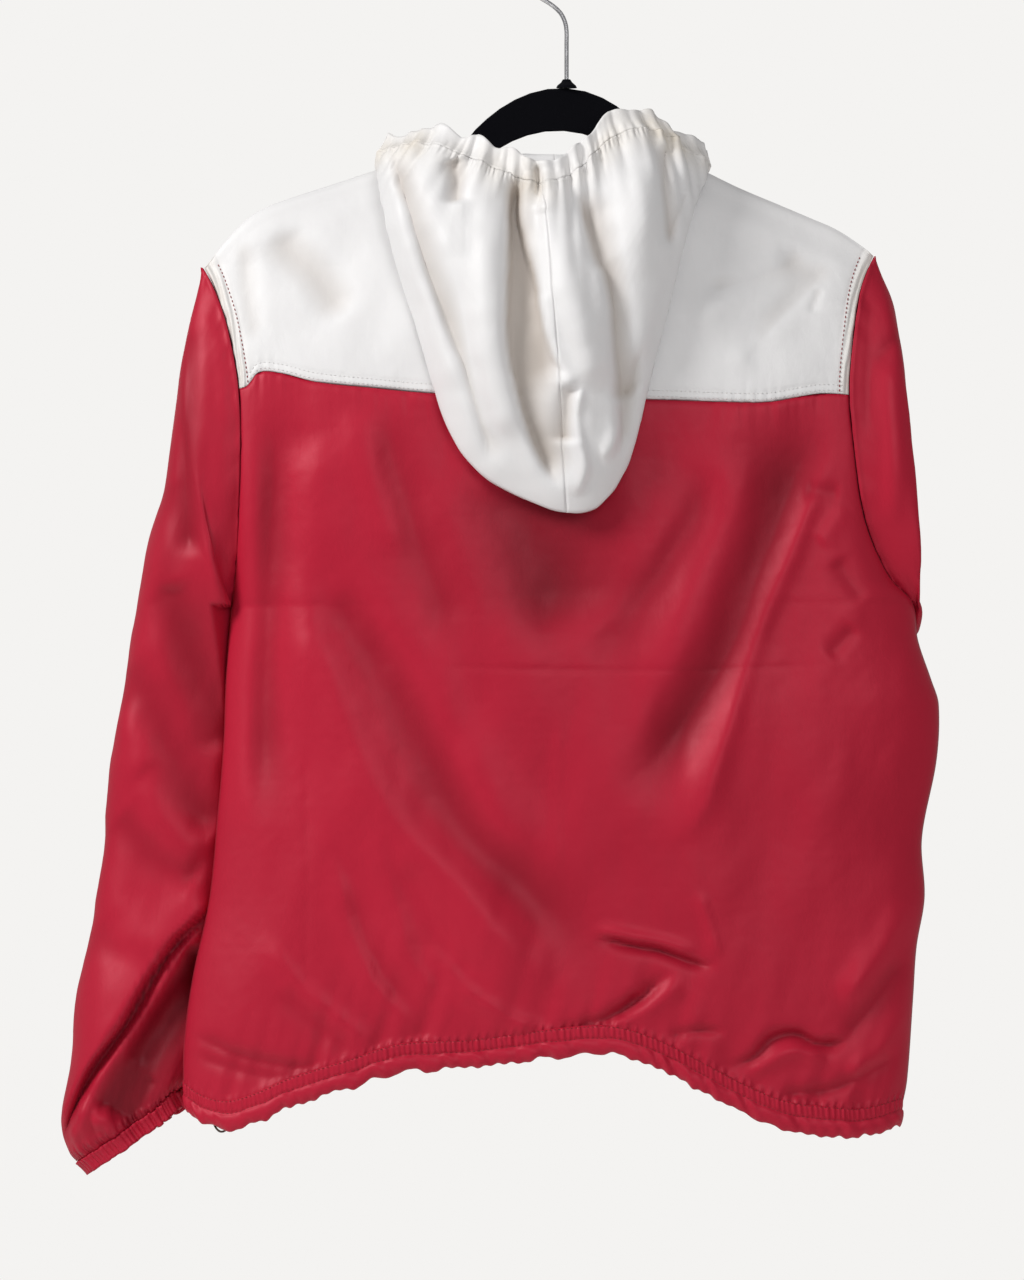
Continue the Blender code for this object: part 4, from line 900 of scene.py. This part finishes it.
def hood_ribs(shares):
    """Ribs at these shares of the way round, each as points from the neck to the face edge."""
    starts = [row[0] for row in HOOD_RIBS]
    place = np.interp(shares, starts, np.arange(len(HOOD_RIBS)))
    neck_x = round_rows([[row[1]] for row in HOOD_RIBS], place)[:, 0].clip(NECK_RIGHT, NECK_LEFT)
    behind = (shares >= BEHIND[0]) & (shares <= BEHIND[1])
    z = np.where(behind, neck_z(1, neck_x), neck_z(-1, neck_x))
    y = np.where(behind, body_y(1, neck_x, z), body_y(-1, neck_x, z))
    neck = np.stack([neck_x - 5 * SEAM * neck_out_x(neck_x), y, z + 2.5 * SEAM], axis=-1)
    rest = round_rows(np.array([row[2:] for row in HOOD_RIBS], float), place)
    knots = np.transpose(np.concatenate([neck[:, None], rest], axis=1), (1, 0, 2))
    fine = np.transpose(round_rows(knots, np.linspace(0, 5, RIB_POINTS)), (1, 0, 2)).copy()
    x, y, z = fine[..., 0], fine[..., 1], fine[..., 2]
    inside = (neck_z(-1, x) < z) & (x > NECK_RIGHT) & (x < NECK_LEFT)
    hangs = (shares > BEHIND[0]) & (shares < BEHIND[1])
    lies = (np.arange(RIB_POINTS)[None, :] > 3) & hangs[:, None] & ~inside
    under = np.minimum(z, along(SHOULDER_LINE, x))
    rest_y = body_y(1, x, under, folds_at(YOKE_FOLDS, x, under) + folds_at(BACK_FOLDS, x, under))
    fine[..., 1] = np.where(lies, np.maximum(y, rest_y + LAY_CLEAR + WALL + 1.2), y)
    lengths = np.concatenate([np.zeros((len(shares), 1)),
                              np.cumsum(np.linalg.norm(np.diff(fine, axis=1), axis=2), axis=1)], axis=1)
    return fine, lengths


def ribs_at(fine, lengths, ways):
    """Points at these ways along each rib."""
    grid = np.empty(ways.shape + (3,))
    for i in range(len(fine)):
        for axis in range(3):
            grid[i, :, axis] = np.interp(ways[i], lengths[i], fine[i, :, axis])
    return grid


SEAM_SHARES = np.linspace(0, 1, 241)
seam_ribs, seam_lengths = hood_ribs(SEAM_SHARES)
seam_line = ribs_at(seam_ribs, seam_lengths, seam_lengths[:, -1:] - HOOD_BAND)[:, 0]
seam_run = line_lengths(seam_line)
print("the casing's seam is", round(seam_run[-1]), "mm long")


def hood_surface(shares, down_steps, casing_steps, seed):
    """The whole hood as one grid: each rib from the neck seam to the casing's seam, then the casing."""
    fine, lengths = hood_ribs(shares)
    whole = lengths[:, -1:]
    seam = whole - HOOD_BAND
    places = np.concatenate([np.linspace(0, 0.5, down_steps // 3, endpoint=False),
                             np.linspace(0.5, 1, down_steps - down_steps // 3 + 1)])
    band = np.linspace(0, 1, casing_steps + 1)[1:]
    ways = np.concatenate([seam * places[None, :], seam + HOOD_BAND * band[None, :]], axis=1)
    down_casing = np.concatenate([0 * places, band])[None, :]
    grid = ribs_at(fine, lengths, ways)
    lies = (smooth_step(BEHIND[0], 0.25, shares) * smooth_step(BEHIND[1], 0.75, shares))[:, None]
    outside = smooth_step(0.5, 0.6, ways / whole) * lies
    main = folds_at(HOOD_FOLDS, grid[..., 0], grid[..., 2], 0.13) * outside
    grid[..., 1] += main
    around = np.interp(shares, SEAM_SHARES, seam_run)[:, None]
    from_seam = np.abs(ways - seam)
    x, z = grid[..., 0], grid[..., 2]
    soft = 0.9 * wrinkles(x, z * 0.5, seed, 52, 20) + 0.3 * wrinkles(x, z, seed + 3, 24)
    pleats = (2.3 * np.exp(-(from_seam / 36) ** 1.2)
              * wrinkles(around + 0.1 * from_seam, 0 * around, seed + 7, 15, 16))
    small = 0.75 * np.exp(-(from_seam / 12) ** 1.2) * wrinkles(around, 0.1 * from_seam, seed + 9, 7, 16)
    groove = -0.6 * np.exp(-(from_seam / 1.6) ** 2)
    height = (soft * (0.35 + 0.65 * outside) + pleats + small * (1 + 0.5 * down_casing) + groove
              + 1.2 * np.sin(math.pi * down_casing))
    out = -grid_out(grid, False)
    grid = grid + out * (height * smooth_step(0, 14, ways))[:, :, None]
    frill = 2.6 * wrinkles(around, 0 * around, seed + 11, 17, 12)
    grid[..., 2] += frill * down_casing ** 1.5
    warm = np.exp(-(from_seam / 16) ** 2) * (0.3 + 0.4 * wrinkles(around, ways * 0.1, seed + 13, 40, 10))
    # The valley mark is painted shade in the hood's deep folds, beige-brown on the white.
    marks = {"gather": 0.4 * np.exp(-(from_seam / 7) ** 4), "valley": (-main - 1.0) / 10.0, "stain": warm}
    return grid, marks


HOOD_STEPS = 186
half_shares = np.concatenate([np.linspace(0, BEHIND[0], 38, endpoint=False),
                              np.linspace(BEHIND[0], 0.5, 112)])
hood_shares = np.concatenate([half_shares, 1 - half_shares[-2::-1]])
hood_all, hood_marks = hood_surface(hood_shares, HOOD_STEPS, 9, 211)
middle = len(half_shares) - 1
for name, part_of_it in (("white_hood_left", np.s_[:middle + 1, :HOOD_STEPS + 1]),
                         ("white_hood_right", np.s_[middle:, :HOOD_STEPS + 1]),
                         ("white_hood_casing", np.s_[:, HOOD_STEPS:])):
    marks = {word: values[part_of_it] for word, values in hood_marks.items()}
    cloths[name] = cloth_piece(name, hood_all[part_of_it], False, True, WALL, marks)
    print(name, hood_all[part_of_it].shape[:2])

# %% [markdown]
# ## Stitching
#
# Rows of stitches are what tell the eye how big a garment is. Each stitch is a small bead of thread,
# pressed into the cloth, with a gap before the next one. One stitch is made as a short six-point
# bead, and a row of them follows a line of points on the cloth.

# %% Rows of stitches
def stitch_rows(name, lines, long=2.3, gap=1.1, radius=0.34):
    """One mesh of stitches along several lines; each line is a list of points and directions out."""
    points = []
    faces = []
    for line, out in lines:
        lengths = line_lengths(line)
        starts = np.arange(0.6, lengths[-1] - long, long + gap)
        for start in starts:
            ends = [np.array([np.interp(w, lengths, line[:, k]) for k in range(3)])
                    for w in (start, start + long / 2, start + long)]
            up = np.array([np.interp(start, lengths, out[:, k]) for k in range(3)])
            up /= np.linalg.norm(up)
            run = ends[2] - ends[0]
            aside = np.cross(run, up)
            aside *= radius / np.linalg.norm(aside)
            rise = up * radius
            base = len(points)
            first, centre, final = ends
            points += [first, centre + aside, centre + rise * 1.2, centre - aside, centre - rise, final]
            for k in range(4):
                faces.append((base, base + 1 + k, base + 1 + (k + 1) % 4))
                faces.append((base + 5, base + 1 + (k + 1) % 4, base + 1 + k))
    mesh = bpy.data.meshes.new(name)
    mesh.from_pydata((np.array(points) * MM).tolist(), [], faces)
    bent = bmesh.new()
    bent.from_mesh(mesh)
    bmesh.ops.recalc_face_normals(bent, faces=bent.faces)
    bent.to_mesh(mesh)
    bent.free()
    return add_object(name, mesh)


def outer_points(name, columns, rows):
    """The outer points of a cloth piece as its grid, in millimetres."""
    flat = np.empty(len(cloths[name].data.vertices) * 3)
    cloths[name].data.vertices.foreach_get("co", flat)
    return flat.reshape(-1, 3)[:columns * rows].reshape(columns, rows, 3) / MM


def line_inside(grid, aside):
    """A line down the grid, a distance in from its first (aside > 0) or last column's edge."""
    line = []
    edge = grid[0 if aside > 0 else -1, :, 0]
    for j in range(grid.shape[1]):
        x = edge[j] + aside
        line.append([x] + [np.interp(x, grid[:, j, 0], grid[:, j, k]) for k in (1, 2)])
    return np.array(line)


def line_above(grid, rise):
    """A line across the grid, a distance above its last row."""
    line = []
    for i in range(grid.shape[0]):
        z = grid[i, -1, 2] + rise
        column = grid[i, ::-1]
        line.append([np.interp(z, column[:, 2], column[:, 0]), np.interp(z, column[:, 2], column[:, 1]), z])
    return np.array(line)


def facing_back(line, lift):
    """A line moved out of the cloth by lift, and its directions out, straight to the back."""
    return line + [0, lift, 0], np.repeat(np.array([[0.0, 1.0, 0.0]]), len(line), axis=0)


yoke = outer_points("white_back_yoke", YOKE_COLUMNS + 1, YOKE_ROWS + 1)
red_lines = [facing_back(line_inside(yoke, aside)[10:], 0.25) for aside in (7.0, -7.0)]
armhole_stitches = stitch_rows("red_armhole_stitches", red_lines, 2.6, 0.9, 0.5)
white_lines = [facing_back(line_above(yoke, rise)[3:-3], 0.2) for rise in (2.2, 6.5)]
hood_out = -grid_out(hood_all, False)
for row in (HOOD_STEPS - 1, HOOD_STEPS + 1):
    white_lines.append((hood_all[40:-40, row] + 0.1 * hood_out[40:-40, row], hood_out[40:-40, row]))
yoke_stitches = stitch_rows("white_yoke_stitches", white_lines)
hem_lines = [facing_back(hem_grid[15:HEM_COLUMNS // 2 - 15, row], 0.15) for row in (1, 8)]
hem_stitches = stitch_rows("red_hem_stitches", hem_lines, 2.4, 1.0, 0.36)
print("stitches:", len(armhole_stitches.data.polygons) // 8, len(yoke_stitches.data.polygons) // 8,
      len(hem_stitches.data.polygons) // 8)

# %% [markdown]
# ## The hem's cord
#
# The end of the drawcord shows as a small dark loop under the wearer's left side of the hem: out of
# the casing, down, round and back in. It is a curve with a round section, so its own line is its
# centre line.

# %% Cord loop
CORD_RADIUS = 0.8
CORD_BEHIND = 3.6     # the loop hangs this far in from the casing
CORD_ROUTE = ((246, -845), (247.5, -852), (249, -859), (251, -866), (254, -870.6), (258, -871.2),
              (261.5, -867.5), (263.5, -861), (265.5, -854), (267, -847))
cord_x = np.array([x for x, _ in CORD_ROUTE], float)
hem_y = body_y(1, cord_x, np.full(len(cord_x), -850.0))
cord_y = hem_y - CASING_ROUND - CORD_RADIUS - CORD_BEHIND
cord_knots = np.stack([cord_x, cord_y, [z for _, z in CORD_ROUTE]], axis=-1)
cord_line = round_rows(cord_knots, np.linspace(0, len(cord_knots) - 1, 28)) * MM
curve = bpy.data.curves.new("hem_cord", "CURVE")
curve.dimensions = "3D"
curve.bevel_depth = CORD_RADIUS * MM
curve.bevel_resolution = 3
curve.use_fill_caps = True
spline = curve.splines.new("POLY")
spline.points.add(len(cord_line) - 1)
for knot, place in zip(spline.points, cord_line):
    knot.co = (*place, 1.0)
hem_cord = add_object("hem_cord", curve)

# %% [markdown]
# ## Materials
#
# Nylon shell cloth is a fine plain weave with a slightly waxy finish: its colour is even, its
# highlights are broad and soft, and at a glance angle it turns paler. The weave is far finer than a
# fold, so it is only a bump. Fine ridges follow the gather marks, the valley marks paint shade into
# the colour at the bottoms of the folds, a deep red on the red and a beige-brown on the white, and
# the stain marks warm the white cloth where it was handled.

# %% Helpers for shader nodes
def new_material(name):
    """A new material, its node tree and its main shader."""
    made = bpy.data.materials.new(name)
    made.use_nodes = True
    tree = made.node_tree
    return made, tree, tree.nodes["Principled BSDF"]


def add_node(tree, kind, **values):
    """A node with its inputs set by name."""
    node = tree.nodes.new(kind)
    for key, value in values.items():
        word = key.replace("_", " ").title()
        node.inputs[word].default_value = value
    return node


def feed(tree, node, values):
    """Give a node's inputs, by number, each a value or the output of another node."""
    for index, value in values.items():
        if isinstance(value, bpy.types.NodeSocket):
            tree.links.new(value, node.inputs[index])
        else:
            node.inputs[index].default_value = value


def mix_colours(tree, share, first, second):
    """A mix of two colours, by share."""
    node = tree.nodes.new("ShaderNodeMix")
    node.data_type = "RGBA"
    feed(tree, node, {0: share, 6: first, 7: second})
    return node.outputs[2]


def do_math(tree, operation, first, second):
    """The result of one sum or product; each side may be a value or a socket."""
    node = tree.nodes.new("ShaderNodeMath")
    node.operation = operation
    feed(tree, node, {0: first, 1: second})
    return node.outputs[0]


def read_mark(tree, word):
    """The value of one of the cloth's painted attributes."""
    node = tree.nodes.new("ShaderNodeAttribute")
    node.attribute_name = word
    return node.outputs["Fac"]


def stretched(tree, socket, scale, turn=0.0):
    """A place stretched and turned, so that a texture runs along the cloth."""
    node = tree.nodes.new("ShaderNodeMapping")
    tree.links.new(socket, node.inputs["Vector"])
    node.inputs["Scale"].default_value = scale
    node.inputs["Rotation"].default_value = (0, 0, turn)
    return node.outputs["Vector"]


def texture(tree, kind, place, bands=None, **values):
    """The value of a noise or wave texture read at a place; bands is a wave's direction."""
    node = add_node(tree, kind, **values)
    if bands:
        node.bands_direction = bands
    tree.links.new(place, node.inputs["Vector"])
    return node.outputs["Fac"]


def bump(tree, height, strength, distance, under=None):
    """A bumped normal from a height; under is the normal of the layer below it."""
    node = add_node(tree, "ShaderNodeBump", strength=strength, distance=distance)
    tree.links.new(height, node.inputs["Height"])
    if under is not None:
        tree.links.new(under, node.inputs["Normal"])
    return node.outputs["Normal"]


WEAVE_SCALE = 420.0   # threads of the plain weave, as bands in the metres of the UV map
print("node helpers are ready")

# %% [markdown]
# ## The shell cloth's material
#
# One function makes both the red and the white cloth, because they are the same nylon in two dyes. Its
# colour is mottled very slightly and carries painted shade at the bottoms of the folds, three layers
# of bump add creases, gathers and weave in that order, and the tint of its gloss keeps the red's
# highlights red instead of chalky.

# %% Shell cloth in a colour
def shell_cloth(name, colour, shade, stain, rough, sheen, sheen_tint, gloss_tint):
    """Woven nylon in one colour, with painted shade in its folds and its stain."""
    made, tree, shader = new_material(name)
    coords = tree.nodes.new("ShaderNodeTexCoord")
    uv = coords.outputs["UV"]
    place = coords.outputs["Object"]
    broad = texture(tree, "ShaderNodeTexNoise", place, scale=7.0, detail=3.0)
    mottle = texture(tree, "ShaderNodeTexNoise", place, scale=60.0, detail=5.0, roughness=0.65)
    paler = tuple(min(1.0, c * 1.10 + 0.004) for c in colour)
    darker = tuple(c * 0.88 for c in colour)
    tone = mix_colours(tree, broad, (*darker, 1), (*paler, 1))
    tone = mix_colours(tree, do_math(tree, "MULTIPLY", mottle, 0.22), tone, (*darker, 1))
    # Painted shade: the valley mark darkens the colour toward the shade colour at the bottoms of the folds.
    valley = do_math(tree, "MULTIPLY", read_mark(tree, "valley"), 0.75)
    tone = mix_colours(tree, valley, tone, (*shade, 1))
    warm = do_math(tree, "MULTIPLY", read_mark(tree, "stain"), mottle)
    tree.links.new(mix_colours(tree, warm, tone, (*stain, 1)), shader.inputs["Base Color"])

    warp, weft = [texture(tree, "ShaderNodeTexWave", uv, bands=way, scale=WEAVE_SCALE, distortion=0.4)
                  for way in "XY"]
    weave = do_math(tree, "MULTIPLY", warp, weft)
    ridge = texture(tree, "ShaderNodeTexWave", stretched(tree, uv, (1.0, 0.25, 1.0), 0.25), bands="X",
                    scale=48.0, distortion=3.0, detail=2.0, detail_scale=1.5)
    ridges = do_math(tree, "MULTIPLY", ridge, read_mark(tree, "gather"))
    crease = texture(tree, "ShaderNodeTexNoise", stretched(tree, uv, (1.0, 0.6, 1.0), 0.4),
                     scale=95.0, detail=4.0, roughness=0.6, distortion=0.6)
    normal = bump(tree, crease, 0.3, 0.0008)
    normal = bump(tree, ridges, 0.9, 0.0016, normal)
    normal = bump(tree, weave, 0.12, 0.0002, normal)
    tree.links.new(normal, shader.inputs["Normal"])
    dulled = do_math(tree, "MULTIPLY", mottle, 0.16)
    tree.links.new(do_math(tree, "ADD", dulled, rough), shader.inputs["Roughness"])
    shader.inputs["Specular IOR Level"].default_value = 0.5
    shader.inputs["Specular Tint"].default_value = (*gloss_tint, 1)
    shader.inputs["Sheen Weight"].default_value = sheen
    shader.inputs["Sheen Roughness"].default_value = 0.45
    shader.inputs["Sheen Tint"].default_value = (*sheen_tint, 1)
    return made


# Each cloth's colour, then the painted shade for the bottoms of its folds, then its stain colour.
red_cloth = shell_cloth("red_shell", (0.45, 0.0075, 0.031), (0.095, 0.001, 0.004), (0.44, 0.03, 0.05), 0.40,
                        0.06, (1.0, 0.30, 0.36), (1.0, 0.42, 0.48))
white_cloth = shell_cloth("white_shell", (0.79, 0.785, 0.79), (0.42, 0.35, 0.29), (0.66, 0.55, 0.38), 0.46,
                          0.08, (1.0, 1.0, 1.0), (1.0, 1.0, 1.0))
print("two shell cloths")

# %% [markdown]
# ## Thread, cord, flock and chrome
#
# The small parts share one recipe: two close colours in a fine noise, and the same noise as a slight
# bump. Flock is short black fibre glued to the hanger, so it has almost no gloss; the wire is chrome,
# so it is metal and nearly a mirror.

# %% Thread, cord, flock and chrome
def plain_material(name, colour, second_colour, scale, rough, depth, metallic=0.0):
    """Two close colours in a fine noise, with the noise as a slight bump."""
    made, tree, shader = new_material(name)
    coords = tree.nodes.new("ShaderNodeTexCoord")
    noise = texture(tree, "ShaderNodeTexNoise", coords.outputs["Object"], scale=scale, detail=5.0,
                    roughness=0.6)
    tone = mix_colours(tree, noise, (*colour, 1), (*second_colour, 1))
    tree.links.new(tone, shader.inputs["Base Color"])
    uneven = do_math(tree, "MULTIPLY", noise, 0.12)
    tree.links.new(do_math(tree, "ADD", uneven, rough), shader.inputs["Roughness"])
    tree.links.new(bump(tree, noise, depth, 0.0004), shader.inputs["Normal"])
    shader.inputs["Metallic"].default_value = metallic
    return made


PLAIN = {name: plain_material(name, *values) for name, *values in (
    # name, two colours, noise scale, roughness, depth of the bump, metallic
    ("red_thread", (0.20, 0.006, 0.012), (0.30, 0.012, 0.02), 900, 0.5, 0.5),
    ("white_thread", (0.72, 0.71, 0.70), (0.82, 0.81, 0.80), 900, 0.55, 0.5),
    ("dark_cord", (0.03, 0.018, 0.010), (0.07, 0.045, 0.025), 700, 0.65, 0.8),
    ("black_flock", (0.001, 0.001, 0.002), (0.003, 0.003, 0.005), 1500, 0.88, 0.7),
    ("chrome_wire", (0.55, 0.55, 0.57), (0.72, 0.72, 0.74), 220, 0.10, 0.04, 1.0),
    ("pale_floor", (0.80, 0.79, 0.77), (0.84, 0.83, 0.81), 14, 0.8, 0.1))}
flock_inputs = PLAIN["black_flock"].node_tree.nodes["Principled BSDF"].inputs
flock_inputs["Specular IOR Level"].default_value = 0.08
flock_inputs["Sheen Weight"].default_value = 0.02
print("threads, cord, flock and chrome")

# %% [markdown]
# ## Putting the materials on
#
# Each piece wears one material, chosen by what it is made of. The hanger keeps the solids of the model
# and only takes new materials, since flock and wire need no finer shape than those have.

# %% Put the materials on
def dress(made, material):
    """Give a piece one material."""
    made.data.materials.clear()
    made.data.materials.append(material)


for name, made in cloths.items():
    dress(made, white_cloth if name.startswith("white") else red_cloth)
for made, word in ((armhole_stitches, "red_thread"), (yoke_stitches, "white_thread"),
                   (hem_stitches, "red_thread"), (hem_cord, "dark_cord")):
    dress(made, PLAIN[word])
for node, word in (("hanger_body", "black_flock"), ("hanger_collar", "black_flock"),
                   ("hanger_hook", "chrome_wire")):
    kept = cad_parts[node]
    for slot_index in range(len(kept.data.materials)):
        kept.data.materials[slot_index] = PLAIN[word]
print("dressed", len(cloths), "cloth pieces")

# %% [markdown]
# ## Each cloth piece in place of its solid
#
# Each cloth piece stands for one solid of the model, which is hidden, and hangs from the root. The
# table lists the size of the cloth each piece is cut from, and the area of each piece is printed.

SHEETS = (
    # piece, solid it stands for, slot, cut as width and length, flat area where it isn't square, how held
    ("red_back", "back_body", "red_shell", (0.56, 0.55), None, "hung",
     ("red_hem_stitches",)),
    ("red_front", "front_body", "red_shell", (0.56, 0.55), None, "hung", ()),
    ("white_back_yoke", "back_yoke", "white_shell", (0.53, 0.18), 0.080, "hung",
     ("white_yoke_stitches", "red_armhole_stitches")),
    ("white_front_yoke", "front_yoke", "white_shell", (0.53, 0.18), 0.072, "hung", ()),
    ("red_hem", "hem_casing", "red_shell", (1.25, 0.022), None, "gathered", ()),
    ("red_sleeve_left", "sleeve_left", "red_shell", (0.26, 0.60), None, "hung", ()),
    ("red_sleeve_right", "sleeve_right", "red_shell", (0.26, 0.54), None, "hung", ()),
    ("red_cuff_left", "cuff_left", "red_shell", (0.30, 0.022), None, "gathered", ()),
    ("red_cuff_right", "cuff_right", "red_shell", (0.30, 0.022), None, "gathered", ()),
    ("white_hood_left", "hood_left", "white_shell", (0.28, 0.50), 0.070, "hung", ()),
    ("white_hood_right", "hood_right", "white_shell", (0.28, 0.50), 0.058, "hung", ()),
    ("white_hood_casing", "hood_casing", "white_shell", (0.62, 0.019), None, "gathered", ()))
for name, node, slot_name, flat, area, held, with_it in SHEETS:
    made = cloths[name]
    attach(made, "root")
    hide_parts(node)
    print(name, "has", round(cloth_area(made), 4), "m2 of cloth")
for made, slot_name in ((armhole_stitches, "red_shell"), (yoke_stitches, "white_shell"),
                        (hem_stitches, "red_shell")):
    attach(made, "root")
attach(hem_cord, "root")
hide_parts("hem_cord_loop")

# %% [markdown]
# ## Floor, light and camera
#
# Everything hangs in a pale, evenly lit room. One soft light from the wearer's left and above rakes
# across the back and shows the folds, a larger one fills from the other side, and a third lights the
# front. The camera looks straight at the back from six metres away, through a long lens, so that
# nothing is distorted.

# %% Stage, light and camera
bpy.ops.mesh.primitive_plane_add(size=2.2, location=(0, 0.1, -1.2))
floor = bpy.context.active_object
floor.name = "pale_floor"
dress(floor, PLAIN["pale_floor"])

world = bpy.data.worlds.new("pale_room")
bpy.context.scene.world = world
world.use_nodes = True
room = world.node_tree
seen_room = room.nodes["Background"]
lit_room = room.nodes.new("ShaderNodeBackground")
for node, colour, strength in ((seen_room, (0.905, 0.895, 0.880, 1), 1.0),
                               (lit_room, (1.0, 0.99, 0.985, 1), 0.30)):
    node.inputs["Color"].default_value = colour
    node.inputs["Strength"].default_value = strength
seen = room.nodes.new("ShaderNodeLightPath")
choose = room.nodes.new("ShaderNodeMixShader")
room.links.new(seen.outputs["Is Camera Ray"], choose.inputs[0])
room.links.new(lit_room.outputs[0], choose.inputs[1])
room.links.new(seen_room.outputs[0], choose.inputs[2])
room.links.new(choose.outputs[0], room.nodes["World Output"].inputs["Surface"])

BODY_CENTRE = (0.0, 0.0, -0.5)
CAMERA_PLACE = (0.0407, 6.045, -0.506)
CAMERA_LENS = 228


def soft_light(name, place, size, power, colour):
    """A round soft light aimed at the middle of the body."""
    bpy.ops.object.light_add(type="AREA", location=place)
    lamp = bpy.context.active_object
    lamp.name = name
    lamp.data.shape = "DISK"
    lamp.data.size = size
    lamp.data.energy = power
    lamp.data.color = colour
    run = [t - p for t, p in zip(BODY_CENTRE, place)]
    flat_run = math.hypot(run[0], run[1])
    lamp.rotation_euler = (math.atan2(flat_run, -run[2]), 0, math.atan2(-run[0], run[1]))


soft_light("key_light", (2.0, 1.25, 0.85), size=0.9, power=50, colour=(1.0, 0.99, 0.975))
soft_light("fill_light", (-0.9, 2.9, 0.5), size=1.6, power=26, colour=(1.0, 0.99, 0.99))
soft_light("front_light", (0.3, -2.4, 0.4), size=1.6, power=26, colour=(1.0, 1.0, 1.0))
bpy.ops.object.camera_add(location=CAMERA_PLACE, rotation=(math.pi / 2, 0, math.pi))
camera = bpy.context.active_object
camera.data.sensor_width = 36
camera.data.lens = CAMERA_LENS
bpy.context.scene.camera = camera
bpy.context.scene.view_settings.view_transform = "Standard"
print("light and camera are set")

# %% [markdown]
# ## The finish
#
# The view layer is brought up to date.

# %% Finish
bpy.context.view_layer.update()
